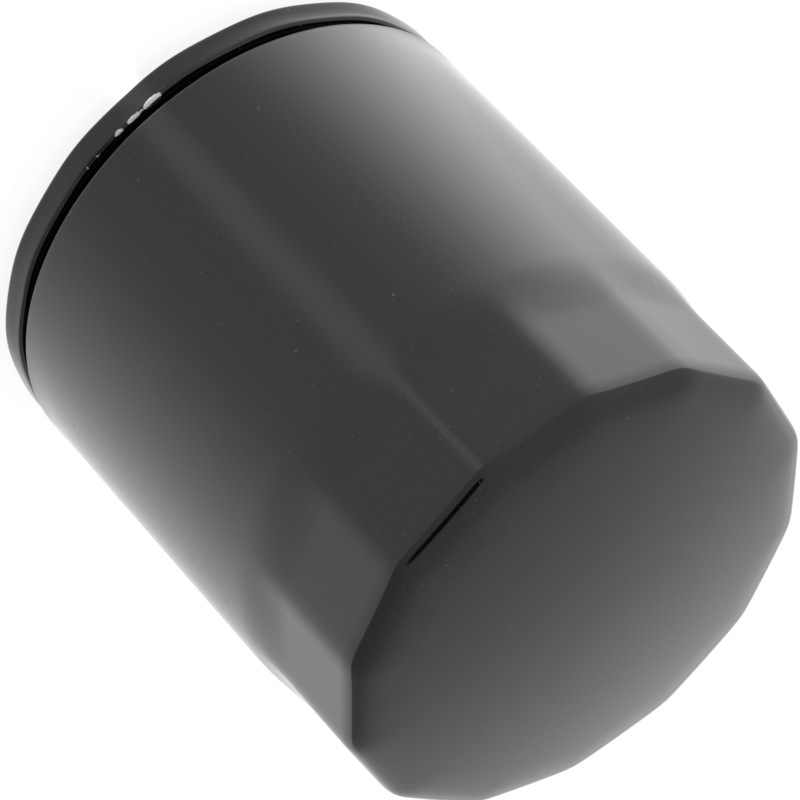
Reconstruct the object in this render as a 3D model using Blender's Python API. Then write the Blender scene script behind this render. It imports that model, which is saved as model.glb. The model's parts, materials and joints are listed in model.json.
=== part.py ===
"""Spin-on oil filter, modelled as the separate pieces that it comes apart into.

Frame: metres, +Z up. The origin is the centre of the gasket's sealing face, and +Z runs along the
filter's axis towards the closed end. One wrench flat faces +X and the opposite one faces -X.

Nearly every piece is round, so it is drawn as an outline in (radius, height) and turned about Z.
A pressed piece's outline is its middle line with the sheet's thickness laid on both sides.
"""

import math

import bmesh
import bpy

MM = 0.001

# Overall sizes
CAN_DIAMETER = 76.0 * MM
OVERALL_HEIGHT = 92.0 * MM

# Sheet thicknesses, and the clearances that pieces keep
CAN_SHEET = 0.45 * MM
LID_SHEET = 0.45 * MM
CAP_SHEET = 0.45 * MM
TOUCH_GAP = 0.3 * MM
SLIDE_GAP = 0.5 * MM

# Closed end of the can: wrench flats, edge rounding and crown
FLAT_COUNT = 14
FLAT_DEPTH = 1.25 * MM
CORNER_DEPTH = 0.7 * MM
FLAT_LENGTH = 12.0 * MM
FLAT_FADE = 13.0 * MM
EDGE_HEIGHT = 5.4 * MM
EDGE_REACH = 7.6 * MM
CROWN_HEIGHT = 2.7 * MM

# Open end of the can: double seam and the groove above it
SEAM_HEIGHT = 4.4 * MM
SEAM_INSET = 0.2 * MM
GROOVE_WIDTH = 1.6 * MM
SHOULDER_RADIUS = 0.8 * MM
COMPOUND_THICKNESS = 0.4 * MM

# Gasket and the lid's channel
GASKET_PROUD = 2.0 * MM
GASKET_THICKNESS = 4.9 * MM
GASKET_WIDTH = 3.2 * MM
RUBBER_CHAMFER = 0.3 * MM
CHANNEL_LIP_DEPTH = 2.4 * MM
CHANNEL_LIP_WIDTH = 1.3 * MM
WELD_FLANGE = 1.5 * MM

# Base plate: 3/4-16 thread in a drawn collar, and a ring of inlet holes
PLATE_THICKNESS = 3.0 * MM
THREAD_DIAMETER = 19.05 * MM
THREAD_PITCH = 25.4 / 16 * MM
COLLAR_WALL = 2.7 * MM
COLLAR_RISE = 5.5 * MM
THREAD_CHAMFER = 0.8 * MM
THREAD_RELIEF = 0.1 * MM
COLLAR_CHAMFER = 0.5 * MM
INLET_COUNT = 8
INLET_DIAMETER = 6.6 * MM

# Anti-drainback valve
HUB_WALL = 2.2 * MM
HUB_RISE = 0.6 * MM
LIP_THICKNESS = 1.1 * MM
LIP_EDGE = 0.7 * MM
LIP_OVERLAP = 2.6 * MM
LIP_RISE = 2.8 * MM
LIP_LIFT = 1.5 * MM

# Cartridge
CARTRIDGE_CLEARANCE = 5.6 * MM
CAP_RIM = 4.5 * MM
CAP_COLLAR = 3.6 * MM
CAP_CORNER_RADIUS = 0.55 * MM
POTTING_THICKNESS = 1.2 * MM
PAPER_THICKNESS = 0.6 * MM
PLEAT_FOLD = 0.25 * MM
PLEAT_PITCH = 2.3 * MM
TUBE_WALL = 0.5 * MM
TUBE_HOLE_DIAMETER = 3.4 * MM
TUBE_HOLE_COLUMNS = 6
TUBE_HOLE_SPACING = 9.0 * MM
CLIP_SHEET = 0.4 * MM
CLIP_REACH = 4.5 * MM

# Bypass valve, under the upper cap's raised boss
SEAT_DIAMETER = 13.0 * MM
BOSS_HEIGHT = 1.6 * MM
BOSS_TAPER = 0.8 * MM
CAGE_FLANGE = 2.2 * MM
CAGE_WINDOWS = 6
WINDOW_WIDTH_SHARE = 0.5
WINDOW_HEIGHT_SHARE = 0.5
POPPET_SKIRT = 2.0 * MM
POPPET_SHEET = 0.6 * MM
SEAL_THICKNESS = 1.2 * MM
STEM_DIAMETER = 2.8 * MM
STEM_HEAD_RISE = 0.6 * MM
BYPASS_TRAVEL = 2.5 * MM
BYPASS_WIRE = 0.9 * MM
BYPASS_TURNS = 5
BYPASS_ROOM = 2.1 * MM

# Spring between the cartridge and the can's end
ELEMENT_SPRING_WIRE = 1.8 * MM
ELEMENT_SPRING_TURNS = 3
ELEMENT_SPRING_ROOM = 4.3 * MM
CARTRIDGE_FLOAT = 1.0 * MM
ELEMENT_SPRING_TOP_RADIUS = 12.0 * MM

# Sides that stand for a circle, from the big rings down to wire, and steps along the can's outline
WIDE_SIDES = 3 * FLAT_COUNT
INNER_SIDES = 28
SMALL_SIDES = 16
HOLE_SIDES = 12
TUBE_HOLE_SIDES = 8
COIL_STEPS = 16
CROWN_STEPS = 3
EDGE_STEPS = 5
FADE_STEPS = 3
THREAD_RUN_OUT = 0.02

# Radii, from the outside in
CAN_RADIUS = CAN_DIAMETER / 2
CAN_INNER = CAN_RADIUS - CAN_SHEET
SEAM_RADIUS = CAN_RADIUS - SEAM_INSET
SEAM_WALL = SEAM_RADIUS - LID_SHEET / 2
SEAM_STEP = (CAN_SHEET + LID_SHEET) / 2 + TOUCH_GAP
BODY_HOOK = SEAM_WALL - SEAM_STEP
COVER_HOOK = BODY_HOOK - SEAM_STEP
NECK = COVER_HOOK - SEAM_STEP
CHUCK_WALL = NECK - SEAM_STEP
GASKET_OUTER = CHUCK_WALL - LID_SHEET / 2 - TOUCH_GAP
GASKET_INNER = GASKET_OUTER - GASKET_WIDTH
CHANNEL_INNER = GASKET_INNER - TOUCH_GAP - LID_SHEET / 2
LID_INNER = CHANNEL_INNER - CHANNEL_LIP_WIDTH - WELD_FLANGE
PLATE_RADIUS = NECK - CAN_SHEET / 2 - SLIDE_GAP
THREAD_DEPTH = 0.5413 * THREAD_PITCH
THREAD_MAJOR = THREAD_DIAMETER / 2
THREAD_MINOR = THREAD_MAJOR - THREAD_DEPTH
COLLAR_RADIUS = THREAD_MAJOR + COLLAR_WALL
HUB_INNER = COLLAR_RADIUS + TOUCH_GAP
HUB_OUTER = HUB_INNER + HUB_WALL
INLET_CIRCLE = (HUB_OUTER + LID_INNER) / 2
LIP_INNER = HUB_OUTER + TOUCH_GAP
LIP_OUTER = INLET_CIRCLE + INLET_DIAMETER / 2 + LIP_OVERLAP
TUBE_INNER = HUB_INNER + CAP_SHEET + TOUCH_GAP
TUBE_OUTER = TUBE_INNER + TUBE_WALL
CAP_OUTER = CAN_INNER - CARTRIDGE_CLEARANCE
CAP_WALL = CAP_OUTER - CAP_SHEET / 2
MEDIA_OUTER = CAP_OUTER - CAP_SHEET - TOUCH_GAP
MEDIA_INNER = TUBE_OUTER + TOUCH_GAP
CROWN_RADIUS = CAN_RADIUS - FLAT_DEPTH - EDGE_REACH

# Heights, from the gasket's face up
SEAM_LOW = GASKET_PROUD
SEAM_TOP = SEAM_LOW + SEAM_HEIGHT
SHOULDER = SEAM_TOP + GROOVE_WIDTH
CHANNEL_FLOOR = GASKET_THICKNESS + TOUCH_GAP + LID_SHEET / 2
PLATE_LOW = CHANNEL_FLOOR + LID_SHEET / 2 + TOUCH_GAP
PLATE_TOP = PLATE_LOW + PLATE_THICKNESS
COLLAR_TOP = PLATE_TOP + COLLAR_RISE
HUB_LOW = PLATE_TOP + TOUCH_GAP
LIP_LOW = PLATE_TOP + TOUCH_GAP
LIP_ROOT = LIP_LOW + LIP_RISE
HUB_TOP = max(COLLAR_TOP, LIP_ROOT + LIP_THICKNESS + LIP_LIFT) + HUB_RISE
LOWER_CAP = HUB_TOP + TOUCH_GAP + CAP_SHEET / 2
POTTING_LOW = LOWER_CAP + CAP_SHEET / 2 + TOUCH_GAP
MEDIA_LOW = POTTING_LOW + POTTING_THICKNESS + TOUCH_GAP
EDGE_LOW = OVERALL_HEIGHT - CROWN_HEIGHT - EDGE_HEIGHT
FLATS_FULL = EDGE_LOW - FLAT_LENGTH
FLATS_START = FLATS_FULL - FLAT_FADE


def crown_height_at(radius):
    """Height of the can's outer surface at a radius inside its end face."""
    return OVERALL_HEIGHT - CROWN_HEIGHT * (radius / CROWN_RADIUS) ** 2


SPRING_TOP = crown_height_at(ELEMENT_SPRING_TOP_RADIUS + ELEMENT_SPRING_WIRE) - CAN_SHEET - TOUCH_GAP
SPRING_SOLID = (ELEMENT_SPRING_TURNS + 1) * ELEMENT_SPRING_WIRE
SPRING_LOW = SPRING_TOP - SPRING_SOLID - CARTRIDGE_FLOAT - ELEMENT_SPRING_ROOM
UPPER_CAP = SPRING_LOW - TOUCH_GAP - CAP_SHEET / 2
POTTING_TOP = UPPER_CAP - CAP_SHEET / 2 - TOUCH_GAP
MEDIA_TOP = POTTING_TOP - POTTING_THICKNESS - TOUCH_GAP

# Bypass valve
SEAT_RADIUS = SEAT_DIAMETER / 2
SEAT_HEIGHT = UPPER_CAP + BOSS_HEIGHT - CAP_SHEET / 2
CAGE_FLANGE_HEIGHT = UPPER_CAP - CAP_SHEET - TOUCH_GAP
CAGE_OUTER = TUBE_INNER - TOUCH_GAP
CAGE_WALL = CAGE_OUTER - CAGE_FLANGE - CAP_SHEET / 2
CAGE_INNER = CAGE_WALL - CAP_SHEET / 2
CAGE_DEPTH = (BYPASS_TURNS + 2) * (BYPASS_WIRE + TOUCH_GAP) + BYPASS_TRAVEL + BYPASS_ROOM
CAGE_FLOOR = CAGE_FLANGE_HEIGHT - CAGE_DEPTH
BOSS_RADIUS = CAGE_OUTER - SLIDE_GAP
SEAL_OUTER = CAGE_INNER - SLIDE_GAP
SEAL_TOP = SEAT_HEIGHT - TOUCH_GAP
SEAL_LOW = SEAL_TOP - SEAL_THICKNESS
POPPET_TOP = SEAL_LOW - TOUCH_GAP
POPPET_LOW = POPPET_TOP - POPPET_SHEET
STEM_RADIUS = STEM_DIAMETER / 2
STEM_HEAD_RADIUS = SEAT_RADIUS - 2 * SLIDE_GAP - STEM_RADIUS
STEM_LOW = CAGE_FLOOR - CAP_SHEET - BYPASS_WIRE
TUBE_TOP = CAGE_FLANGE_HEIGHT - CAP_SHEET / 2 - TOUCH_GAP


def rounded(path, radius, steps):
    """Replace each inner corner of an open path with an arc of the given radius."""
    soft = [path[0]]
    for before, corner, after in zip(path, path[1:], path[2:]):
        to_before = (before[0] - corner[0], before[1] - corner[1])
        to_after = (after[0] - corner[0], after[1] - corner[1])
        length_before = math.hypot(*to_before)
        length_after = math.hypot(*to_after)
        cosine = (to_before[0] * to_after[0] + to_before[1] * to_after[1]) / (length_before * length_after)
        half_angle = math.acos(max(-1.0, min(1.0, cosine))) / 2
        reach = min(radius / math.tan(half_angle), 0.45 * length_before, 0.45 * length_after)
        start = [corner[i] + to_before[i] / length_before * reach for i in range(2)]
        end = [corner[i] + to_after[i] / length_after * reach for i in range(2)]
        for step in range(steps + 1):
            t = step / steps
            soft.append(tuple(
                (1 - t) ** 2 * start[i] + 2 * t * (1 - t) * corner[i] + t ** 2 * end[i] for i in range(2)
            ))
    soft.append(path[-1])
    return soft


def pressed(path, sheet):
    """Closed outline of a sheet whose middle line is the open path."""
    sides = ([], [])
    last = len(path) - 1
    for index, (radius, height) in enumerate(path):
        ahead = path[min(index + 1, last)]
        behind = path[max(index - 1, 0)]
        along = [(ahead[0] - radius, ahead[1] - height), (radius - behind[0], height - behind[1])]
        normals = [(-dz / math.hypot(dr, dz), dr / math.hypot(dr, dz)) for dr, dz in along if dr or dz]
        mean = [sum(normal[i] for normal in normals) / len(normals) for i in range(2)]
        scale = sheet / 2 / (mean[0] ** 2 + mean[1] ** 2)
        for side, sign in zip(sides, (1, -1)):
            side.append((max(radius + sign * scale * mean[0], 0.0), height + sign * scale * mean[1]))
    return sides[0] + sides[1][::-1]


def boxed(inner, outer, low, high, chamfer=0.0):
    """Closed outline of a plain ring, with its four edges chamfered if asked."""
    if not chamfer:
        return [(inner, low), (outer, low), (outer, high), (inner, high)]
    return [
        (inner + chamfer, low), (outer - chamfer, low), (outer, low + chamfer), (outer, high - chamfer),
        (outer - chamfer, high), (inner + chamfer, high), (inner, high - chamfer), (inner, low + chamfer),
    ]


def turned(outline, sides, shape=None, closed=True):
    """Turn an outline of (radius, height) points about Z. shape(radius, height, angle) may bend it."""
    mesh = bmesh.new()
    rings = []
    for radius, height in outline:
        if radius < 1e-9:
            centre = mesh.verts.new((0.0, 0.0, height))
            rings.append([centre] * sides)
            continue
        ring = []
        for side in range(sides):
            angle = 2 * math.pi * side / sides + math.pi / FLAT_COUNT
            reach = shape(radius, height, angle) if shape else radius
            ring.append(mesh.verts.new((reach * math.cos(angle), reach * math.sin(angle), height)))
        rings.append(ring)
    pairs = list(zip(rings, rings[1:]))
    if closed:
        pairs.append((rings[-1], rings[0]))
    for one, other in pairs:
        for side in range(sides):
            following = (side + 1) % sides
            add_face(mesh, [one[side], one[following], other[following], other[side]])
    return mesh, rings


def add_face(mesh, corners):
    """Add a face, dropping corners that repeat. A face needs three different ones."""
    distinct = list(dict.fromkeys(corners))
    if len(distinct) > 2:
        mesh.faces.new(distinct)


def prism(mesh, points, low, high, place):
    """Closed prism on an outline of two-number points; place(first, second, height) puts them in space."""
    bottom = [mesh.verts.new(place(first, second, low)) for first, second in points]
    top = [mesh.verts.new(place(first, second, high)) for first, second in points]
    mesh.faces.new(bottom)
    mesh.faces.new(top)
    for index in range(len(points)):
        following = (index + 1) % len(points)
        mesh.faces.new([bottom[index], bottom[following], top[following], top[index]])


def circle(radius, sides):
    """Corner points of a polygon that stands for a circle."""
    return [
        (radius * math.cos(2 * math.pi * side / sides), radius * math.sin(2 * math.pi * side / sides))
        for side in range(sides)
    ]


def finish_material(name, colour, roughness, metallic):
    """Principled material with a plain colour."""
    material = bpy.data.materials.new(name)
    material.use_nodes = True
    shader = material.node_tree.nodes["Principled BSDF"]
    shader.inputs["Base Color"].default_value = (*colour, 1.0)
    shader.inputs["Roughness"].default_value = roughness
    shader.inputs["Metallic"].default_value = metallic
    material.diffuse_color = (*colour, 1.0)
    return material


def add_piece(name, mesh, parent, origin_height, finish):
    """Make an object whose origin is on the axis at origin_height, and give it its material."""
    bmesh.ops.recalc_face_normals(mesh, faces=mesh.faces)
    for vertex in mesh.verts:
        vertex.co.z -= origin_height
    data = bpy.data.meshes.new(name)
    mesh.to_mesh(data)
    mesh.free()
    data.shade_smooth()
    data.set_sharp_from_angle(angle=math.radians(35))
    data.materials.append(finish_material(name, *finish))
    piece = bpy.data.objects.new(name, data)
    bpy.context.scene.collection.objects.link(piece)
    put_under(piece, parent, origin_height)
    return piece


def add_cutter(name, mesh, target):
    """Add a guide mesh and cut it out of the target."""
    bmesh.ops.recalc_face_normals(mesh, faces=mesh.faces)
    data = bpy.data.meshes.new(name)
    mesh.to_mesh(data)
    mesh.free()
    cutter = bpy.data.objects.new(name, data)
    cutter.display_type = "WIRE"
    cutter.hide_render = True
    bpy.context.scene.collection.objects.link(cutter)
    cut = target.modifiers.new(name, "BOOLEAN")
    cut.operation = "DIFFERENCE"
    cut.solver = "EXACT"
    cut.object = cutter


def add_empty(name, parent, height):
    """Assembly empty on the axis."""
    empty = bpy.data.objects.new(name, None)
    empty.empty_display_size = 10 * MM
    bpy.context.scene.collection.objects.link(empty)
    put_under(empty, parent, height)
    return empty


def put_under(item, parent, height):
    """Parent an object and place it on the axis at a height above the row's origin."""
    item.parent = parent
    item.location.z = height - axis_height(parent)


def axis_height(item):
    """Height of an object above the origin, summed up through its parents."""
    total = 0.0
    while item is not None:
        total += item.location.z
        item = item.parent
    return total


def can_shape(radius, height, angle):
    """Radius of the can's wall: round, turning into 14 flats that fade out over the end's rounding."""
    into_flats = min(max((height - FLATS_START) / (FLATS_FULL - FLATS_START), 0.0), 1.0)
    into_flats = into_flats ** 2 * (3 - 2 * into_flats)
    outward = min(max((radius - CROWN_RADIUS) / (CAN_RADIUS - CROWN_RADIUS), 0.0), 1.0)
    step = 2 * math.pi / FLAT_COUNT
    from_middle = (angle + step / 2) % step - step / 2
    flat = (CAN_RADIUS - FLAT_DEPTH) / math.cos(from_middle)
    polygon = min(flat, CAN_RADIUS - CORNER_DEPTH)
    return radius * (1 - into_flats * outward * (1 - polygon / CAN_RADIUS))


def make_can(parent):
    """Deep-drawn shell, from the crown down its outside to the hook in the seam."""
    half = CAN_SHEET / 2
    path = [(0.0, OVERALL_HEIGHT - half)]
    for step in range(1, CROWN_STEPS):
        radius = CROWN_RADIUS * step / CROWN_STEPS
        path.append((radius, crown_height_at(radius) - half))
    for step in range(EDGE_STEPS + 1):
        turn = math.pi / 2 * step / EDGE_STEPS
        radius = CROWN_RADIUS + (CAN_RADIUS - CROWN_RADIUS - half) * math.sin(turn)
        path.append((radius, EDGE_LOW + (EDGE_HEIGHT - half) * math.cos(turn)))
    for step in range(FADE_STEPS + 1):
        path.append((CAN_RADIUS - half, FLATS_FULL - step / FADE_STEPS * (FLATS_FULL - FLATS_START)))
    shoulder = [
        path[-1],
        (CAN_RADIUS - half, SHOULDER + half),
        (NECK, SHOULDER + half),
        (NECK, SEAM_LOW + 2 * SEAM_STEP),
    ]
    path += rounded(shoulder, SHOULDER_RADIUS, 2)[1:-1]
    hook_low = SEAM_LOW + LID_SHEET + 2 * TOUCH_GAP + COMPOUND_THICKNESS + half
    hook_top = SEAM_TOP - LID_SHEET - TOUCH_GAP
    path += [(NECK, hook_low), (BODY_HOOK, hook_low), (BODY_HOOK, hook_top)]
    mesh, _ = turned(pressed(path, CAN_SHEET), WIDE_SIDES, can_shape)
    return add_piece("can", mesh, parent, SHOULDER, ((0.012, 0.012, 0.012), 0.28, 0.0))


def make_seam_lid(parent):
    """Thin lid: cover hook, seam ring, gasket channel, and the flange welded to the base plate."""
    half = LID_SHEET / 2
    hook_low = SEAM_LOW + LID_SHEET + 3 * TOUCH_GAP + COMPOUND_THICKNESS + CAN_SHEET
    path = [
        (COVER_HOOK, hook_low),
        (COVER_HOOK, SEAM_TOP - half),
        (SEAM_WALL, SEAM_TOP - half),
        (SEAM_WALL, SEAM_LOW + half),
        (CHUCK_WALL, SEAM_LOW + half),
        (CHUCK_WALL, CHANNEL_FLOOR),
        (CHANNEL_INNER, CHANNEL_FLOOR),
        (CHANNEL_INNER, CHANNEL_FLOOR - CHANNEL_LIP_DEPTH),
        (CHANNEL_INNER - CHANNEL_LIP_WIDTH, CHANNEL_FLOOR - CHANNEL_LIP_DEPTH),
        (CHANNEL_INNER - CHANNEL_LIP_WIDTH, CHANNEL_FLOOR),
        (LID_INNER, CHANNEL_FLOOR),
    ]
    mesh, _ = turned(pressed(path, LID_SHEET), WIDE_SIDES)
    return add_piece("seam_lid", mesh, parent, SEAM_LOW, ((0.015, 0.015, 0.015), 0.3, 0.0))


def make_seam_compound(parent):
    """Sealing ring laid in the bottom of the double seam."""
    low = SEAM_LOW + LID_SHEET + TOUCH_GAP
    inner = NECK - CAN_SHEET / 2
    outer = BODY_HOOK + CAN_SHEET / 2
    mesh, _ = turned(boxed(inner, outer, low, low + COMPOUND_THICKNESS), WIDE_SIDES)
    return add_piece("seam_compound", mesh, parent, low, ((0.35, 0.33, 0.28), 0.7, 0.0))


def make_base_gasket(parent):
    """Square-cut sealing ring that stands proud of the seam."""
    outline = boxed(GASKET_INNER, GASKET_OUTER, 0.0, GASKET_THICKNESS, RUBBER_CHAMFER)
    mesh, _ = turned(outline, WIDE_SIDES)
    return add_piece("base_gasket", mesh, parent, 0.0, ((0.02, 0.02, 0.02), 0.6, 0.0))


def add_thread(mesh, low_ring, high_ring, low, high):
    """Right-hand thread between two rings of vertices: crest and root rows that climb one pitch a turn."""
    sides = len(low_ring)
    run_out = THREAD_RUN_OUT * THREAD_PITCH
    rows = {}

    def corner(row, side):
        """Vertex of a row: the rows wrap on to the next turn, and run out at either mouth."""
        if side == sides:
            return corner(row + 2, 0)
        height = low + THREAD_PITCH * (row / 2 + (side + 0.5) / sides - 1)
        if height <= low + run_out:
            return low_ring[side]
        if height >= high - run_out:
            return high_ring[side]
        if (row, side) not in rows:
            reach = THREAD_MAJOR if row % 2 else THREAD_MINOR
            direction = low_ring[side].co.xy.normalized() * reach
            rows[row, side] = mesh.verts.new((direction.x, direction.y, height))
        return rows[row, side]

    for row in range(2 * math.ceil((high - low) / THREAD_PITCH) + 4):
        for side in range(sides):
            add_face(mesh, [
                corner(row, side), corner(row, side + 1), corner(row + 1, side + 1), corner(row + 1, side),
            ])


def make_base_plate(parent):
    """Thick plate with the threaded collar and the inlet holes."""
    mouth = THREAD_MAJOR + THREAD_RELIEF
    thread_low = PLATE_LOW + THREAD_CHAMFER
    thread_top = COLLAR_TOP - THREAD_CHAMFER
    outline = [
        (mouth, thread_low),
        (mouth + THREAD_CHAMFER, PLATE_LOW),
        (PLATE_RADIUS, PLATE_LOW),
        (PLATE_RADIUS, PLATE_TOP),
        (COLLAR_RADIUS + TOUCH_GAP / 2, PLATE_TOP),
        (COLLAR_RADIUS, PLATE_TOP + TOUCH_GAP / 2),
        (COLLAR_RADIUS, COLLAR_TOP - COLLAR_CHAMFER),
        (COLLAR_RADIUS - COLLAR_CHAMFER, COLLAR_TOP),
        (mouth + THREAD_CHAMFER, COLLAR_TOP),
        (mouth, thread_top),
    ]
    mesh, rings = turned(outline, INNER_SIDES, closed=False)
    add_thread(mesh, rings[0], rings[-1], thread_low, thread_top)
    plate = add_piece("base_plate", mesh, parent, PLATE_LOW, ((0.55, 0.54, 0.5), 0.35, 1.0))
    holes = bmesh.new()
    for index in range(INLET_COUNT):
        angle = 2 * math.pi * index / INLET_COUNT
        x = INLET_CIRCLE * math.cos(angle)
        y = INLET_CIRCLE * math.sin(angle)
        prism(
            holes, circle(INLET_DIAMETER / 2, HOLE_SIDES), PLATE_LOW - SLIDE_GAP, PLATE_TOP + SLIDE_GAP,
            lambda first, second, height: (x + first, y + second, height),
        )
    add_cutter("inlet_hole_cutter", holes, plate)
    return plate


def make_drainback_hub(parent):
    """Rubber sleeve around the collar: the lower cap presses on it."""
    mesh, _ = turned(boxed(HUB_INNER, HUB_OUTER, HUB_LOW, HUB_TOP, RUBBER_CHAMFER), INNER_SIDES)
    return add_piece("drainback_hub", mesh, parent, HUB_LOW, ((0.45, 0.12, 0.03), 0.5, 0.0))


def make_drainback_lip(parent):
    """Sloping flap that closes the inlet holes and lifts when oil comes in."""
    outline = [
        (LIP_INNER, LIP_ROOT),
        (LIP_OUTER - LIP_OVERLAP / 2, LIP_LOW),
        (LIP_OUTER, LIP_LOW),
        (LIP_OUTER, LIP_LOW + LIP_EDGE),
        (LIP_INNER, LIP_ROOT + LIP_THICKNESS),
    ]
    mesh, _ = turned(outline, INNER_SIDES)
    return add_piece("drainback_lip", mesh, parent, LIP_LOW, ((0.45, 0.12, 0.03), 0.5, 0.0))


def make_lower_end_cap(parent):
    """Pressed trough with a collar that centres the perforated tube."""
    collar = TUBE_INNER - TOUCH_GAP - CAP_SHEET / 2
    path = [
        (collar, LOWER_CAP + CAP_COLLAR),
        (collar, LOWER_CAP),
        (CAP_WALL, LOWER_CAP),
        (CAP_WALL, LOWER_CAP + CAP_RIM),
    ]
    mesh, _ = turned(pressed(rounded(path, CAP_CORNER_RADIUS, 1), CAP_SHEET), INNER_SIDES)
    return add_piece("lower_end_cap", mesh, parent, LOWER_CAP, ((0.62, 0.6, 0.55), 0.35, 1.0))


def make_upper_end_cap(parent):
    """Pressed cap with a raised boss, whose hole is the bypass valve's seat."""
    path = [
        (SEAT_RADIUS, UPPER_CAP + BOSS_HEIGHT),
        (BOSS_RADIUS - BOSS_TAPER, UPPER_CAP + BOSS_HEIGHT),
        (BOSS_RADIUS, UPPER_CAP),
        (CAP_WALL, UPPER_CAP),
        (CAP_WALL, UPPER_CAP - CAP_RIM),
    ]
    mesh, _ = turned(pressed(rounded(path, CAP_CORNER_RADIUS, 1), CAP_SHEET), INNER_SIDES)
    return add_piece("upper_end_cap", mesh, parent, UPPER_CAP, ((0.62, 0.6, 0.55), 0.35, 1.0))


def make_potting(name, parent, low):
    """Adhesive ring that seals the paper's end into its cap."""
    mesh, _ = turned(boxed(MEDIA_INNER, MEDIA_OUTER, low, low + POTTING_THICKNESS), INNER_SIDES)
    return add_piece(name, mesh, parent, low, ((0.6, 0.05, 0.03), 0.5, 0.0))


def pleat_places():
    """Number of pleats that fit round the tube."""
    return int(2 * math.pi * MEDIA_INNER / PLEAT_PITCH)


def make_pleated_media(parent):
    """Paper star: each pleat has two blunt folds, one near the can and one near the tube."""
    count = pleat_places()
    narrow = PLEAT_FOLD
    wide = narrow + PAPER_THICKNESS
    root = MEDIA_INNER + PAPER_THICKNESS
    tip = MEDIA_OUTER - PAPER_THICKNESS
    facing_out = [(MEDIA_OUTER, 0, -wide), (MEDIA_OUTER, 0, wide), (root, 0.5, -narrow), (root, 0.5, narrow)]
    facing_in = [(tip, 0, -narrow), (tip, 0, narrow), (MEDIA_INNER, 0.5, -wide), (MEDIA_INNER, 0.5, wide)]
    mesh = bmesh.new()
    loops = []
    for folds in (facing_out, facing_in):
        for height in (MEDIA_LOW, MEDIA_TOP):
            loop = []
            for pleat in range(count):
                for radius, share, sideways in folds:
                    angle = 2 * math.pi * (pleat + share) / count + sideways / radius
                    loop.append(mesh.verts.new((radius * math.cos(angle), radius * math.sin(angle), height)))
            loops.append(loop)
    out_low, out_top, in_low, in_top = loops
    for one, other in ((out_low, out_top), (out_top, in_top), (in_top, in_low), (in_low, out_low)):
        for index in range(len(one)):
            following = (index + 1) % len(one)
            mesh.faces.new([one[index], one[following], other[following], other[index]])
    return add_piece("pleated_media", mesh, parent, MEDIA_LOW, ((0.75, 0.6, 0.32), 0.9, 0.0))


def make_media_seam_clip(parent):
    """Metal channel pinched over the pleat where the paper's two ends meet."""
    inside = PLEAT_FOLD + PAPER_THICKNESS + TOUCH_GAP
    outside = inside + CLIP_SHEET
    floor = MEDIA_OUTER + TOUCH_GAP
    back = floor + CLIP_SHEET
    points = [
        (back - CLIP_REACH, -outside), (back, -outside), (back, outside), (back - CLIP_REACH, outside),
        (back - CLIP_REACH, inside), (floor, inside), (floor, -inside), (back - CLIP_REACH, -inside),
    ]
    low = LOWER_CAP + CAP_RIM + SLIDE_GAP
    high = UPPER_CAP - CAP_RIM - SLIDE_GAP
    mesh = bmesh.new()
    prism(mesh, points, low, high, lambda x, y, z: (x, y, z))
    return add_piece("media_seam_clip", mesh, parent, low, ((0.6, 0.6, 0.6), 0.4, 1.0))


def make_center_tube(parent):
    """Perforated core that the paper is wrapped round."""
    mesh, _ = turned(boxed(TUBE_INNER, TUBE_OUTER, POTTING_LOW, TUBE_TOP), INNER_SIDES)
    tube = add_piece("center_tube", mesh, parent, POTTING_LOW, ((0.6, 0.6, 0.6), 0.4, 1.0))
    lowest = MEDIA_LOW + TUBE_HOLE_SPACING / 2
    highest = MEDIA_TOP - TUBE_HOLE_SPACING / 2
    rows = int((highest - lowest) / TUBE_HOLE_SPACING) + 1
    hole = circle(TUBE_HOLE_DIAMETER / 2, TUBE_HOLE_SIDES)
    holes = bmesh.new()
    for column in range(TUBE_HOLE_COLUMNS):
        angle = 2 * math.pi * column / TUBE_HOLE_COLUMNS
        for row in range(rows):
            height = lowest + (highest - lowest) * row / max(rows - 1, 1)
            radial_prism(holes, hole, angle, height, TUBE_INNER, TUBE_OUTER)
    add_cutter("tube_hole_cutter", holes, tube)
    return tube


def radial_prism(mesh, points, angle, height, inner, outer):
    """Prism that runs outwards through a round wall, on an outline of (sideways, up) points."""
    def place(sideways, up, reach):
        return (
            reach * math.cos(angle) - sideways * math.sin(angle),
            reach * math.sin(angle) + sideways * math.cos(angle),
            height + up,
        )

    prism(mesh, points, inner - 2 * SLIDE_GAP, outer + 2 * SLIDE_GAP, place)


def make_bypass_cage(parent):
    """Slotted cup under the upper cap: it holds the spring and guides the stem."""
    guide = STEM_RADIUS + SLIDE_GAP
    path = [
        (CAGE_OUTER, CAGE_FLANGE_HEIGHT), (CAGE_WALL, CAGE_FLANGE_HEIGHT),
        (CAGE_WALL, CAGE_FLOOR), (guide, CAGE_FLOOR),
    ]
    mesh, _ = turned(pressed(path, CAP_SHEET), INNER_SIDES)
    cage = add_piece("bypass_cage", mesh, parent, CAGE_FLOOR, ((0.5, 0.5, 0.5), 0.4, 1.0))
    half_width = WINDOW_WIDTH_SHARE * math.pi * CAGE_WALL / CAGE_WINDOWS
    half_height = WINDOW_HEIGHT_SHARE * CAGE_DEPTH / 2
    window = [
        (-half_width, -half_height),
        (half_width, -half_height),
        (half_width, half_height),
        (-half_width, half_height),
    ]
    windows = bmesh.new()
    for index in range(CAGE_WINDOWS):
        angle = 2 * math.pi * index / CAGE_WINDOWS
        radial_prism(windows, window, angle, CAGE_FLOOR + CAGE_DEPTH / 2, CAGE_INNER, CAGE_WALL)
    add_cutter("cage_window_cutter", windows, cage)
    return cage


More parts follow.
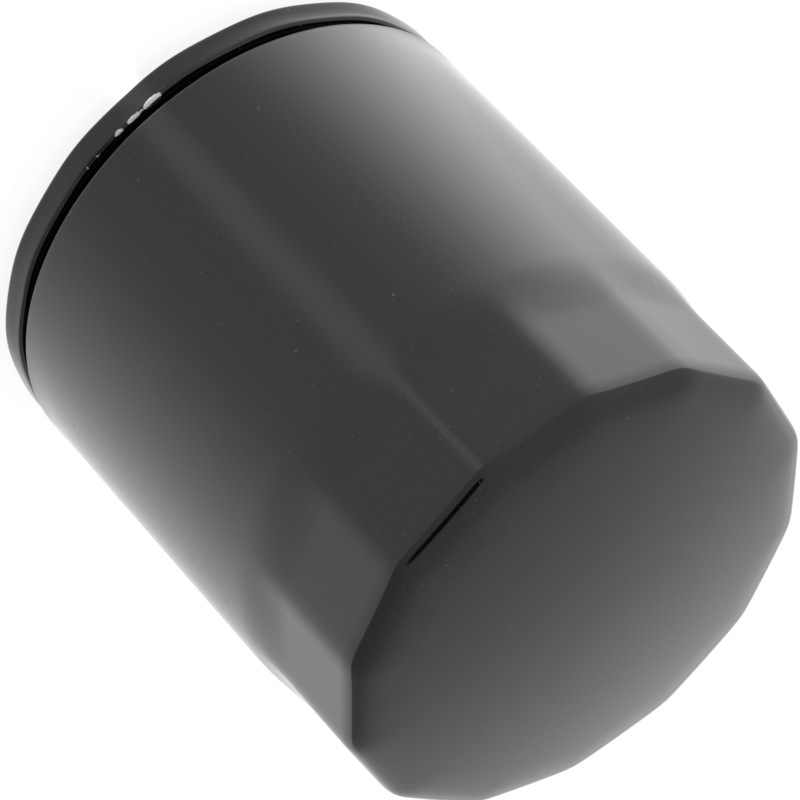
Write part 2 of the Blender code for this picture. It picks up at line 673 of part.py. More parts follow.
def make_bypass_poppet(parent):
    """Pressed valve disc with a short skirt."""
    half = POPPET_SHEET / 2
    skirt = SEAL_OUTER - half
    path = [
        (STEM_RADIUS + TOUCH_GAP, POPPET_LOW + half),
        (skirt, POPPET_LOW + half),
        (skirt, POPPET_LOW - POPPET_SKIRT),
    ]
    mesh, _ = turned(pressed(path, POPPET_SHEET), INNER_SIDES)
    return add_piece("bypass_poppet", mesh, parent, POPPET_LOW, ((0.6, 0.6, 0.58), 0.35, 1.0))


def make_bypass_seal(parent):
    """Rubber washer that meets the seat."""
    inner = STEM_HEAD_RADIUS + TOUCH_GAP
    mesh, _ = turned(boxed(inner, SEAL_OUTER, SEAL_LOW, SEAL_TOP), INNER_SIDES)
    return add_piece("bypass_seal", mesh, parent, SEAL_LOW, ((0.03, 0.03, 0.03), 0.6, 0.0))


def make_bypass_stem(parent):
    """Rivet through the disc, with a head above it, a shoulder below it and a guide pin."""
    shoulder = STEM_RADIUS + 2 * TOUCH_GAP
    shoulder_top = POPPET_LOW - TOUCH_GAP
    outline = [
        (0.0, STEM_LOW),
        (STEM_RADIUS - TOUCH_GAP, STEM_LOW),
        (STEM_RADIUS, STEM_LOW + TOUCH_GAP),
        (STEM_RADIUS, shoulder_top - STEM_RADIUS),
        (shoulder, shoulder_top - STEM_RADIUS),
        (shoulder, shoulder_top),
        (STEM_RADIUS, shoulder_top),
        (STEM_RADIUS, SEAL_LOW),
        (STEM_HEAD_RADIUS, SEAL_LOW),
        (STEM_HEAD_RADIUS, SEAL_TOP),
        (STEM_HEAD_RADIUS / 2, SEAL_TOP + STEM_HEAD_RISE),
        (0.0, SEAL_TOP + STEM_HEAD_RISE),
    ]
    mesh, _ = turned(outline, SMALL_SIDES)
    return add_piece("bypass_stem", mesh, parent, SEAL_LOW, ((0.65, 0.65, 0.65), 0.3, 1.0))


def coil_points(low_radius, high_radius, low, high, turns, wire):
    """Centre line of a spring: a flat turn at each end, and even turns between them."""
    flat_pitch = wire + TOUCH_GAP
    middle_pitch = (high - low - wire - 2 * flat_pitch) / (turns - 2)
    points = []
    for step in range(turns * COIL_STEPS + 1):
        turn = step / COIL_STEPS
        climbed = flat_pitch * min(turn, 1.0)
        climbed += middle_pitch * min(max(turn - 1.0, 0.0), turns - 2.0)
        climbed += flat_pitch * max(turn - (turns - 1.0), 0.0)
        radius = low_radius + (high_radius - low_radius) * turn / turns
        angle = 2 * math.pi * turn
        points.append((radius * math.cos(angle), radius * math.sin(angle), low + wire / 2 + climbed))
    return points


def make_spring(name, parent, points, wire, finish):
    """Wire along a coil, as a curve with a round bevel and closed ends."""
    origin_height = points[0][2]
    data = bpy.data.curves.new(name, "CURVE")
    data.dimensions = "3D"
    data.bevel_depth = wire / 2
    data.bevel_resolution = 1
    data.use_fill_caps = True
    spline = data.splines.new("POLY")
    spline.points.add(len(points) - 1)
    for point, (x, y, z) in zip(spline.points, points):
        point.co = (x, y, z - origin_height, 1.0)
    data.materials.append(finish_material(name, *finish))
    spring = bpy.data.objects.new(name, data)
    bpy.context.scene.collection.objects.link(spring)
    put_under(spring, parent, origin_height)
    return spring


def make_bypass_spring(parent):
    """Coil between the cage's floor and the valve disc."""
    radius = SEAL_OUTER - POPPET_SHEET - SLIDE_GAP - BYPASS_WIRE / 2
    low = CAGE_FLOOR + CAP_SHEET / 2 + TOUCH_GAP
    high = POPPET_LOW - TOUCH_GAP
    points = coil_points(radius, radius, low, high, BYPASS_TURNS, BYPASS_WIRE)
    return make_spring("bypass_spring", parent, points, BYPASS_WIRE, ((0.5, 0.5, 0.52), 0.3, 1.0))


def make_element_spring(parent):
    """Tapered coil that holds the cartridge down on the anti-drainback valve."""
    low_radius = BOSS_RADIUS + SLIDE_GAP + ELEMENT_SPRING_WIRE
    top_radius = ELEMENT_SPRING_TOP_RADIUS
    wire = ELEMENT_SPRING_WIRE
    points = coil_points(low_radius, top_radius, SPRING_LOW, SPRING_TOP, ELEMENT_SPRING_TURNS, wire)
    return make_spring("element_spring", parent, points, wire, ((0.5, 0.5, 0.52), 0.3, 1.0))


def build():
    """Clear the scene and make the filter."""
    for item in list(bpy.data.objects):
        bpy.data.objects.remove(item, do_unlink=True)
    casing = add_empty("filter_casing", None, 0.0)
    cartridge = add_empty("filter_cartridge", casing, LOWER_CAP)
    valve = add_empty("bypass_valve", cartridge, SEAT_HEIGHT)
    make_can(casing)
    make_seam_lid(casing)
    make_seam_compound(casing)
    make_base_gasket(casing)
    make_base_plate(casing)
    make_drainback_hub(casing)
    make_drainback_lip(casing)
    make_element_spring(casing)
    make_lower_end_cap(cartridge)
    make_upper_end_cap(cartridge)
    make_potting("lower_potting", cartridge, POTTING_LOW)
    make_potting("upper_potting", cartridge, POTTING_TOP - POTTING_THICKNESS)
    make_pleated_media(cartridge)
    make_media_seam_clip(cartridge)
    make_center_tube(cartridge)
    make_bypass_cage(cartridge)
    make_bypass_spring(cartridge)
    make_bypass_poppet(valve)
    make_bypass_seal(valve)
    make_bypass_stem(valve)
    bpy.context.view_layer.update()


build()
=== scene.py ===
"""Looks of the spin-on oil filter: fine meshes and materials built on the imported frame, in metres.

Angles are measured about the filter's axis from +X. Heights and radii come from the CAD nodes.
"""

import functools
import json
import math

import bpy
from mathutils import Matrix, Vector


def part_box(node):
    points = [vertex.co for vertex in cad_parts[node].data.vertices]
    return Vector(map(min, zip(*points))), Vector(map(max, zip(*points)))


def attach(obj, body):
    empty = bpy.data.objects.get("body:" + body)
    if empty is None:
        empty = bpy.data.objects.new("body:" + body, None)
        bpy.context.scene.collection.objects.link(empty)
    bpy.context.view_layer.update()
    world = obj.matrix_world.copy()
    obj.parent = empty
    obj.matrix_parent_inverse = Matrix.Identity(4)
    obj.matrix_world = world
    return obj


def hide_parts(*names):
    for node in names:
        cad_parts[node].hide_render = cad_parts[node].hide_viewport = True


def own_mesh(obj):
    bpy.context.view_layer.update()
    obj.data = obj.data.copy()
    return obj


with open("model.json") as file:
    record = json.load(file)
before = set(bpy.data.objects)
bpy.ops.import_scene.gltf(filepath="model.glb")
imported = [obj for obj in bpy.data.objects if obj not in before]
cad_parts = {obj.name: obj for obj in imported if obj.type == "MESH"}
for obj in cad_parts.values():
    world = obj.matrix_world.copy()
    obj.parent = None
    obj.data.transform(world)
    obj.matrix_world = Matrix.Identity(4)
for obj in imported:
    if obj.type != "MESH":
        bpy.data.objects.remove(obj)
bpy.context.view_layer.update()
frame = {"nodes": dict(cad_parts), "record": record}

MM = 0.001
SHEET = 0.45 * MM
GAP = 0.3 * MM

# The can's closed end
FLAT_COUNT = 14
FLAT_DEPTH = 1.15 * MM
CORNER_DEPTH = 0.42 * MM
CORNER_SOFTNESS = 0.3 * MM
FLAT_LENGTH = 12.0 * MM
FLAT_FADE = 10.0 * MM
EDGE_HEIGHT = 5.4 * MM
EDGE_REACH = 7.6 * MM
CROWN_HEIGHT = 2.7 * MM
EDGE_LEAVING = 7.2 * MM
EDGE_ARRIVING = 3.2 * MM
SHOULDER_LIFT = 1.6 * MM
SEAM_WAVE = 0.3 * MM

# The base
THREAD_DIAMETER = 19.05 * MM
THREAD_PITCH = 25.4 / 16 * MM
THREAD_CHAMFER = 0.8 * MM
THREAD_DEPTH = 0.5413 * THREAD_PITCH
INLET_COUNT = 8
INLET_DIAMETER = 6.6 * MM

# The cartridge
PLEAT_PITCH = 2.3 * MM
PAPER = 0.6 * MM
PLEAT_FOLD = 0.25 * MM
TUBE_HOLE_DIAMETER = 3.4 * MM
TUBE_HOLE_COLUMNS = 6
TUBE_HOLE_SPACING = 9.0 * MM
CAGE_WINDOWS = 6
BOSS_HEIGHT = 1.6 * MM
ELEMENT_WIRE = 1.8 * MM
ELEMENT_TURNS = 3
BYPASS_WIRE = 0.9 * MM
BYPASS_TURNS = 5
DISC_SHEET = 0.6 * MM

# Corners' smoothing, and the sides of round pieces
SHARP_ANGLE = math.radians(38)
RING_SIDES = 168
DISC_SIDES = 140
CAP_SIDES = 196
CAN_SIDES = 20 * FLAT_COUNT
LID_SIDES = 720
PLATE_SIDES = 192
GASKET_SIDES = 240

# Chips in the enamel on the seam's edge: middle and width in degrees from the camera's side, and depth
RIM_CHIPS = [
    (-5.0, 3.4, 1.3), (0.0, 4.6, 1.06), (4.4, 2.6, 1.0),
    (11.0, 2.4, 0.76), (14.5, 1.3, 0.76), (-11.0, 2.6, 0.72),
]

# The camera, which looks at a point near the middle of the filter's axis
CAMERA_AZIMUTH = math.radians(-87.4)
CAMERA_ELEVATION = math.radians(33.9)
CAMERA_ROLL = math.radians(136.87)
CAMERA_DISTANCE = 0.714
CAMERA_AIM = (-0.11 * MM, 0.0, 44.49 * MM)
CAMERA_LENS = 234.0
SENSOR_WIDTH = 36.0

# The glowing sheet that the filter stands on: an even glow, with painted pools of light in its glow at each
# side and a painted strip of light in front. A pool's stops are a share of half a turn, and its strength
# there
SHEET_REACH = 6.0
SHEET_LEVEL = -0.2 * MM
SHEET_GLOW = 0.88
PAINTED_POOL_APEX = 25.0 * MM
PAINTED_POOL_SCALE = 4.0
PAINTED_POOL_START = 40.5 * MM
PAINTED_POOL_FULL = 46.0 * MM
RIGHT_PAINTED_POOL = [
    (0.0, 0.0), (0.27, 0.0), (0.4, 0.33), (0.5, 0.62), (0.6, 0.58), (0.68, 0.2), (0.8, 0.0), (0.95, 0.0),
]
LEFT_PAINTED_POOL = [
    (0.0, 0.0), (0.26, 0.0), (0.4, 0.12), (0.5, 0.17), (0.62, 0.17), (0.7, 0.09), (0.8, 0.01), (0.95, 0.0),
]
STRIP_TURN = math.radians(-3.0)
STRIP_HALF_WIDTH = math.radians(15.0)
STRIP_CORE = math.radians(1.0)
STRIP_GLOW = 0.5

# The studio round it, and the dark stand that its can reflects
ROOM_GLOW = 0.85
WALL_GLOW = 0.62
SIDE_GLOW = 0.3
DARK_ASIDE = math.radians(20.6)
DARK_ELEVATION = math.radians(42.0)
DARK_RADIUS = math.radians(12.0)


# ---- Measuring the frame ----

@functools.cache
def corners_of(node):
    """(radius, height) of each corner of a CAD node."""
    return [(vertex.co.xy.length, vertex.co.z) for vertex in frame["nodes"][node].data.vertices]


def radii(node, low=-1.0, high=1.0):
    """Smallest and largest radius of a CAD node between two heights, leaving out its axis."""
    found = [radius for radius, height in corners_of(node) if low <= height <= high and radius > 0.1 * MM]
    return min(found), max(found)


def heights(node, inner=0.0, outer=1.0):
    """Lowest and highest point of a CAD node between two radii."""
    found = [height for radius, height in corners_of(node) if inner <= radius <= outer]
    return min(found), max(found)


@functools.cache
def box_radius(node):
    """Radius that keeps a round piece inside its CAD node's box."""
    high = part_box(node)[1]
    return min(high.x, high.y)


# ---- Outlines ----

def bend(before, corner, after, radius, steps):
    """Points of a rounded corner."""
    to_before = Vector(before) - Vector(corner)
    to_after = Vector(after) - Vector(corner)
    half_angle = max(to_before.angle(to_after, math.pi) / 2, 0.05)
    reach = min(radius / math.tan(half_angle), 0.48 * to_before.length, 0.48 * to_after.length)
    start = Vector(corner) + to_before.normalized() * reach
    end = Vector(corner) + to_after.normalized() * reach
    bent = []
    for step in range(steps + 1):
        t = step / steps
        bent.append(tuple((1 - t) ** 2 * start + 2 * t * (1 - t) * Vector(corner) + t ** 2 * end))
    return bent


def soft_path(path, radius, steps=5):
    """Open path with its inner corners rounded."""
    soft = [path[0]]
    for before, corner, after in zip(path, path[1:], path[2:]):
        soft += bend(before, corner, after, radius, steps)
    return soft + [path[-1]]


def soft_loop(loop, radius, steps=4):
    """Closed outline with all its corners rounded."""
    soft = []
    for index, corner in enumerate(loop):
        soft += bend(loop[index - 1], corner, loop[(index + 1) % len(loop)], radius, steps)
    return soft


def dense(path, longest):
    """Path with extra points, so that no step is longer than given."""
    filled = [path[0]]
    for start, end in zip(path, path[1:]):
        pieces = max(1, math.ceil(math.dist(start, end) / longest))
        for piece in range(1, pieces + 1):
            filled.append(tuple(a + (b - a) * piece / pieces for a, b in zip(start, end)))
    return filled


def pressed(path, sheet=SHEET):
    """Closed outline of a sheet whose middle line is the open path, with a rounded cut edge."""
    sides = ([], [])
    last = len(path) - 1
    for index, point in enumerate(path):
        along = Vector(path[min(index + 1, last)]) - Vector(path[max(index - 1, 0)])
        normal = Vector((-along.y, along.x)).normalized()
        for side, sign in zip(sides, (1, -1)):
            x, y = Vector(point) + sign * sheet / 2 * normal
            side.append((max(x, 0.0), y))
    return sides[0] + sides[1][::-1]


def ring_outline(inner, outer, low, high, radius):
    """Closed outline of a plain ring with rounded edges."""
    return soft_loop([(inner, low), (outer, low), (outer, high), (inner, high)], radius)


# ---- Meshes ----

def add_mesh(name, points, faces, body, replaced, finish):
    """Smooth-shaded piece that rides on a body and stands for a CAD node."""
    data = bpy.data.meshes.new(name)
    data.from_pydata(points, [], faces)
    data.validate()
    data.shade_smooth()
    data.set_sharp_from_angle(angle=SHARP_ANGLE)
    data.materials.append(finish)
    piece = bpy.data.objects.new(name, data)
    bpy.context.scene.collection.objects.link(piece)
    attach(piece, body)
    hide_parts(replaced)
    return piece


def turned(outline, sides, shape=None):
    """Corners and faces of an outline turned about Z.

    shape(radius, height, angle) gives each corner's reach.
    """
    area = sum(a[0] * b[1] - b[0] * a[1] for a, b in zip(outline, outline[1:] + outline[:1]))
    if area < 0:
        outline = outline[::-1]
    points = []
    rings = []
    for radius, height in outline:
        if radius < 1e-7:
            rings.append([len(points)] * sides)
            points.append((0.0, 0.0, height))
            continue
        rings.append(list(range(len(points), len(points) + sides)))
        for side in range(sides):
            angle = 2 * math.pi * side / sides - math.pi / 2
            reach = shape(radius, height, angle) if shape else radius
            points.append((reach * math.cos(angle), reach * math.sin(angle), height))
    faces = []
    for one, other in zip(rings, rings[1:] + rings[:1]):
        for side in range(sides):
            following = (side + 1) % sides
            corners = [one[side], one[following], other[following], other[side]]
            corners = list(dict.fromkeys(corners))
            if len(corners) > 2:
                faces.append(corners)
    return points, faces


def prism(loops, low, high, place):
    """Closed prisms on outlines of (first, second) points.

    place(first, second, height) puts a point in space.
    """
    points = []
    faces = []
    for loop in loops:
        count = len(loop)
        start = len(points)
        points += [place(first, second, low) for first, second in loop]
        points += [place(first, second, high) for first, second in loop]
        faces.append(list(range(start + count - 1, start - 1, -1)))
        faces.append(list(range(start + count, start + 2 * count)))
        for index in range(count):
            following = (index + 1) % count
            faces.append([
                start + index, start + following, start + count + following, start + count + index,
            ])
    return points, faces


def circle(radius, sides, x=0.0, y=0.0):
    """Points of a circle."""
    return [
        (x + radius * math.cos(2 * math.pi * side / sides), y + radius * math.sin(2 * math.pi * side / sides))
        for side in range(sides)
    ]


def carve(piece, points, faces):
    """Cut closed shapes out of a piece, and keep the result as its mesh."""
    data = bpy.data.meshes.new("cutter")
    data.from_pydata(points, [], faces)
    cutter = bpy.data.objects.new("cutter", data)
    bpy.context.scene.collection.objects.link(cutter)
    cut = piece.modifiers.new("cut", "BOOLEAN")
    cut.operation = "DIFFERENCE"
    cut.solver = "EXACT"
    cut.object = cutter
    bpy.context.view_layer.update()
    shown = piece.evaluated_get(bpy.context.evaluated_depsgraph_get())
    result = bpy.data.meshes.new_from_object(shown)
    piece.modifiers.clear()
    piece.data = result
    bpy.data.objects.remove(cutter, do_unlink=True)
    result.shade_smooth()
    result.set_sharp_from_angle(angle=SHARP_ANGLE)


def radial(angle, height):
    """Place function for a prism that runs outwards through a wall at an angle and height."""
    def place(sideways, up, reach):
        x = reach * math.cos(angle) - sideways * math.sin(angle)
        y = reach * math.sin(angle) + sideways * math.cos(angle)
        return x, y, height + up

    return place


def joined(parts):
    """Several (points, faces) pairs as one."""
    points = []
    faces = []
    for more_points, more_faces in parts:
        start = len(points)
        points += more_points
        faces += [[start + corner for corner in face] for face in more_faces]
    return points, faces


def wire_mesh(line, radius, sides=14):
    """Corners and faces of a round wire along a coil about Z, closed with domed ends."""
    points = []
    faces = []
    last = len(line) - 1
    rings = []
    end_steps = 3
    stations = []
    for step in range(end_steps):
        swing = step / end_steps * math.pi / 2
        stations.append((0, -math.cos(swing), math.sin(swing)))
    stations += [(index, 0.0, 1.0) for index in range(last + 1)]
    for step in range(1, end_steps + 1):
        swing = step / end_steps * math.pi / 2
        stations.append((last, math.sin(swing), math.cos(swing)))
    for index, ahead, share in stations:
        middle = Vector(line[index])
        along = (Vector(line[min(index + 1, last)]) - Vector(line[max(index - 1, 0)])).normalized()
        middle += along * ahead * radius
        outward = Vector((middle.x, middle.y, 0.0)).normalized()
        upward = along.cross(outward).normalized()
        outward = upward.cross(along)
        reach = max(share, 0.02) * radius
        ring = []
        for side in range(sides):
            angle = 2 * math.pi * side / sides
            ring.append(len(points))
            points.append(tuple(middle + reach * (math.cos(angle) * outward + math.sin(angle) * upward)))
        rings.append(ring)
    for one, other in zip(rings, rings[1:]):
        for side in range(sides):
            following = (side + 1) % sides
            faces.append([one[side], one[following], other[following], other[side]])
    faces.append(rings[0][::-1])
    faces.append(rings[-1])
    return points, faces


# ---- Materials ----

def add_node(tree, kind, sockets=None, **settings):
    """Shader node with its settings and sockets filled in: a socket's value, or the socket that feeds it."""
    made = tree.nodes.new(kind)
    for key, value in settings.items():
        setattr(made, key, value)
    for key, value in (sockets or {}).items():
        if isinstance(value, bpy.types.NodeSocket):
            tree.links.new(value, made.inputs[key])
        else:
            made.inputs[key].default_value = value
    return made


def start_material(name, colour, roughness, metallic=0.0, ior=1.5):
    """Principled material, with the tree and shader to build its detail on."""
    material = bpy.data.materials.new(name)
    material.use_nodes = True
    tree = material.node_tree
    shader = tree.nodes["Principled BSDF"]
    shader.inputs["Base Color"].default_value = (*colour, 1.0)
    shader.inputs["Roughness"].default_value = roughness
    shader.inputs["Metallic"].default_value = metallic
    shader.inputs["IOR"].default_value = ior
    return material, tree, shader


def place_coordinates(tree, stretch=(1.0, 1.0, 1.0)):
    """Coordinates in metres on the piece, stretched if asked."""
    where = add_node(tree, "ShaderNodeTexCoord")
    scaled = add_node(tree, "ShaderNodeMapping", {"Vector": where.outputs["Object"], "Scale": stretch})
    return scaled.outputs["Vector"]


def noise(tree, where, scale, detail=3.0, roughness=0.55, low=0.0, high=1.0):
    """Noise between two values."""
    texture = add_node(tree, "ShaderNodeTexNoise", {
        "Vector": where, "Scale": scale, "Detail": detail, "Roughness": roughness,
    })
    spread = add_node(tree, "ShaderNodeMapRange", {
        "Value": texture.outputs["Fac"], "From Min": 0.25, "From Max": 0.75, "To Min": low, "To Max": high,
    })
    return spread.outputs["Result"]


def math_node(tree, operation, first, second=0.0):
    """Result of a sum on two values or sockets."""
    return add_node(tree, "ShaderNodeMath", {0: first, 1: second}, operation=operation).outputs[0]


def length_of(tree, vector):
    """Length of a vector."""
    return add_node(tree, "ShaderNodeVectorMath", {0: vector}, operation="LENGTH").outputs["Value"]


def dot_with(tree, vector, direction):
    """How far a vector points along a fixed direction."""
    made = add_node(tree, "ShaderNodeVectorMath", {0: vector, 1: direction}, operation="DOT_PRODUCT")
    return made.outputs["Value"]


def step_up(tree, value, low, high, top=1.0):
    """Smooth step of a value from 0 at low to top at high."""
    made = add_node(tree, "ShaderNodeMapRange", {
        "Value": value, "From Min": low, "From Max": high, "To Min": 0.0, "To Max": top,
    }, interpolation_type="SMOOTHSTEP")
    return made.outputs["Result"]


def mix_colour(tree, share, first, second):
    """Colour between two."""
    made = add_node(tree, "ShaderNodeMix", data_type="RGBA")
    for socket, value in zip((0, 6, 7), (share, first, second)):
        if isinstance(value, bpy.types.NodeSocket):
            tree.links.new(value, made.inputs[socket])
        elif isinstance(value, tuple):
            made.inputs[socket].default_value = (*value, 1.0)
        else:
            made.inputs[socket].default_value = value
    return made.outputs[2]


def add_bump(tree, shader, height, distance, strength=1.0):
    """Fine relief, whose height of 1 stands for the distance."""
    bump = add_node(tree, "ShaderNodeBump", {"Height": height, "Distance": distance, "Strength": strength})
    tree.links.new(bump.outputs["Normal"], shader.inputs["Normal"])


def specks(tree, where, scale, size, share):
    """Sparse round specks, one in some cells of a grid."""
    cells = add_node(tree, "ShaderNodeTexVoronoi", {"Vector": where, "Scale": scale})
    picked = add_node(tree, "ShaderNodeSeparateColor", {"Color": cells.outputs["Color"]})
    chosen = step_up(tree, picked.outputs[0], 1 - share, 1 - share + 0.01)
    limit = math_node(tree, "MULTIPLY", picked.outputs[1], size)
    inside = math_node(tree, "LESS_THAN", cells.outputs["Distance"], limit)
    return math_node(tree, "MULTIPLY", chosen, inside)


def make_enamel(name):
    """Black gloss enamel: faint orange peel, sparse dust, hairline scratches, bare steel where worn."""
    black = (0.0025, 0.0025, 0.0025)
    material, tree, shader = start_material(name, black, 0.12, ior=1.46)
    where = place_coordinates(tree)
    along = place_coordinates(tree, (1.0, 1.0, 0.06))
    dust = math_node(
        tree, "MAXIMUM", specks(tree, where, 700.0, 0.15, 0.05), specks(tree, where, 1500.0, 0.18, 0.24),
    )
    scratch_lines = noise(tree, place_coordinates(tree, (1.0, 1.0, 0.12)), 2600.0, 2.0)
    scratch_places = noise(tree, where, 70.0, 2.0)
    scratches = math_node(
        tree, "MULTIPLY", step_up(tree, scratch_lines, 0.97, 1.1), step_up(tree, scratch_places, 0.8, 1.0),
    )
    worn = add_node(tree, "ShaderNodeAttribute", attribute_name="wear").outputs["Fac"]
    ragged = math_node(tree, "ADD", worn, noise(tree, where, 1600.0, 4.0, 0.65, -0.09, 0.09))
    bare = step_up(tree, ragged, 0.62, 0.7)
    marks = math_node(tree, "MAXIMUM", dust, scratches)
    marked = mix_colour(tree, marks, black, (0.045, 0.045, 0.045))
    colour = mix_colour(tree, bare, marked, (0.6, 0.6, 0.59))
    tree.links.new(colour, shader.inputs["Base Color"])
    tree.links.new(bare, shader.inputs["Metallic"])
    base = noise(tree, where, 180.0, 3.0, 0.5, 0.1, 0.14)
    rough = math_node(tree, "ADD", base, math_node(tree, "MULTIPLY", dust, 0.4))
    rough = math_node(tree, "ADD", rough, math_node(tree, "MULTIPLY", bare, 0.18))
    tree.links.new(rough, shader.inputs["Roughness"])
    peel = noise(tree, where, 520.0, 2.0, 0.5)
    draw_lines = noise(tree, along, 900.0, 2.0, 0.5)
    relief = math_node(tree, "ADD", peel, math_node(tree, "MULTIPLY", draw_lines, 0.35))
    relief = math_node(tree, "ADD", relief, math_node(tree, "MULTIPLY", dust, 2.0))
    relief = math_node(tree, "SUBTRACT", relief, math_node(tree, "MULTIPLY", bare, 8.0))
    add_bump(tree, shader, relief, 0.0012 * MM)
    return material


def make_rubber(name, colour, roughness):
    """Moulded rubber: fine grain, a bloom of lighter powder, and small pits."""
    material, tree, shader = start_material(name, colour, roughness)
    where = place_coordinates(tree)
    bloom = noise(tree, where, 160.0, 4.0, 0.6, 0.0, 0.6)
    powder = tuple(min(1.0, channel * 1.6 + 0.012) for channel in colour)
    tree.links.new(mix_colour(tree, bloom, colour, powder), shader.inputs["Base Color"])
    uneven = noise(tree, where, 420.0, 3.0, 0.5, roughness - 0.1, roughness + 0.1)
    tree.links.new(uneven, shader.inputs["Roughness"])
    grain = noise(tree, where, 2600.0, 3.0, 0.6)
    pits = specks(tree, where, 700.0, 0.25, 0.08)
    add_bump(tree, shader, math_node(tree, "SUBTRACT", grain, pits), 0.012 * MM)
    return material


def make_steel(name, colour, roughness, lines, relief):
    """Bare metal: lines of working along one stretch of space, blotches of oil, and specks."""
    material, tree, shader = start_material(name, colour, roughness, 1.0)
    where = place_coordinates(tree)
    working = noise(tree, place_coordinates(tree, lines), 1500.0, 3.0, 0.6)
    blotches = noise(tree, where, 130.0, 4.0, 0.6)
    darker = tuple(channel * 0.72 for channel in colour)
    tree.links.new(mix_colour(tree, blotches, colour, darker), shader.inputs["Base Color"])
    spread = math_node(tree, "MULTIPLY", working, 0.12)
    uneven = noise(tree, where, 260.0, 3.0, 0.6, roughness - 0.08, roughness + 0.06)
    spread = math_node(tree, "ADD", spread, uneven)
    tree.links.new(spread, shader.inputs["Roughness"])
    add_bump(tree, shader, working, relief)
    return material


def make_turned_steel(name, colour, roughness):
    """Steel with the fine rings that a cutting tool leaves about the axis."""
    material, tree, shader = start_material(name, colour, roughness, 1.0)
    where = place_coordinates(tree)
    parts = add_node(tree, "ShaderNodeSeparateXYZ", {"Vector": where})
    across = add_node(tree, "ShaderNodeCombineXYZ", {"X": parts.outputs["X"], "Y": parts.outputs["Y"]})
    reach = length_of(tree, across.outputs[0])
    rings = add_node(tree, "ShaderNodeCombineXYZ", {"X": reach, "Z": parts.outputs["Z"]}).outputs[0]
    cut = noise(tree, rings, 5200.0, 2.0, 0.5)
    blotches = noise(tree, where, 110.0, 4.0, 0.65)
    tint = tuple(channel * 0.78 for channel in colour)
    tree.links.new(mix_colour(tree, blotches, colour, tint), shader.inputs["Base Color"])
    spread = math_node(tree, "ADD", math_node(tree, "MULTIPLY", cut, 0.1), roughness - 0.05)
    tree.links.new(spread, shader.inputs["Roughness"])
    add_bump(tree, shader, cut, 0.004 * MM)
    return material


def make_plated(name, colour, roughness, cell):
    """Plated sheet with crystal spangle."""
    material, tree, shader = start_material(name, colour, roughness, 1.0)
    where = place_coordinates(tree)
    cells = add_node(tree, "ShaderNodeTexVoronoi", {"Vector": where, "Scale": cell})
    tone = add_node(tree, "ShaderNodeSeparateColor", {"Color": cells.outputs["Color"]}).outputs[0]
    darker = tuple(channel * 0.8 for channel in colour)
    tree.links.new(mix_colour(tree, tone, colour, darker), shader.inputs["Base Color"])
    spread = math_node(tree, "ADD", math_node(tree, "MULTIPLY", tone, 0.14), roughness - 0.07)
    tree.links.new(spread, shader.inputs["Roughness"])
    add_bump(tree, shader, noise(tree, where, 900.0, 3.0, 0.6), 0.004 * MM)
    return material


def make_paper():
    """Resin-treated filter paper: fibres, flecks and shallow ribs."""
    material, tree, shader = start_material("filter_paper", (0.72, 0.55, 0.28), 0.85)
    where = place_coordinates(tree)
    fibres = noise(tree, place_coordinates(tree, (1.0, 1.0, 0.25)), 2200.0, 5.0, 0.7)
    flecks = specks(tree, where, 500.0, 0.2, 0.1)
    colour = mix_colour(tree, fibres, (0.76, 0.6, 0.33), (0.6, 0.43, 0.2))
    colour = mix_colour(tree, math_node(tree, "MULTIPLY", flecks, 0.6), colour, (0.4, 0.27, 0.12))
    tree.links.new(colour, shader.inputs["Base Color"])
    tree.links.new(noise(tree, where, 900.0, 3.0, 0.5, 0.75, 0.95), shader.inputs["Roughness"])
    add_bump(tree, shader, fibres, 0.05 * MM)
    return material


def make_glue(name, colour, roughness):
    """Cast adhesive with small bubbles and a wavy skin."""
    material, tree, shader = start_material(name, colour, roughness)
    where = place_coordinates(tree)
    cloud = noise(tree, where, 220.0, 4.0, 0.6)
    darker = tuple(channel * 0.6 for channel in colour)
    tree.links.new(mix_colour(tree, cloud, colour, darker), shader.inputs["Base Color"])
    uneven = noise(tree, where, 300.0, 2.0, 0.5, roughness - 0.12, roughness + 0.12)
    tree.links.new(uneven, shader.inputs["Roughness"])
    bubbles = specks(tree, where, 420.0, 0.35, 0.3)
    add_bump(tree, shader, math_node(tree, "SUBTRACT", cloud, bubbles), 0.06 * MM)
    return material


# ---- The casing ----

def soft_minimum(first, second, softness):
    """Smaller of two values, with a rounded change from one to the other."""
    share = max(0.0, 1 - abs(first - second) / softness)
    return min(first, second) - softness * share ** 2 / 4


def smooth(value):
    """Smooth step from 0 to 1, held at both ends."""
    value = min(max(value, 0.0), 1.0)
    return value * value * (3 - 2 * value)


can_radius = box_radius("can")
can_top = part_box("can")[1].z
edge_low = can_top - CROWN_HEIGHT - EDGE_HEIGHT
flats_full = edge_low - FLAT_LENGTH
flats_start = flats_full - FLAT_FADE
crown_radius = can_radius - FLAT_DEPTH - EDGE_REACH
seam_low, seam_top = heights("seam_lid", box_radius("seam_lid") - SHEET)
shoulder_height = seam_top + SHOULDER_LIFT


def can_shape(radius, height, angle):
    """Reach of the can's wall: round, turning into flats that fade out over the end's rounding."""
    into_flats = smooth((height - flats_start) / (flats_full - flats_start))
    outward = min(max((radius - crown_radius) / (can_radius - crown_radius), 0.0), 1.0)
    step = 2 * math.pi / FLAT_COUNT
    from_middle = (angle + step / 2) % step - step / 2
    flat = (can_radius - FLAT_DEPTH) / math.cos(from_middle)
    polygon = soft_minimum(flat, can_radius - CORNER_DEPTH, CORNER_SOFTNESS)
    return radius * (1 - into_flats * outward * (1 - polygon / can_radius))


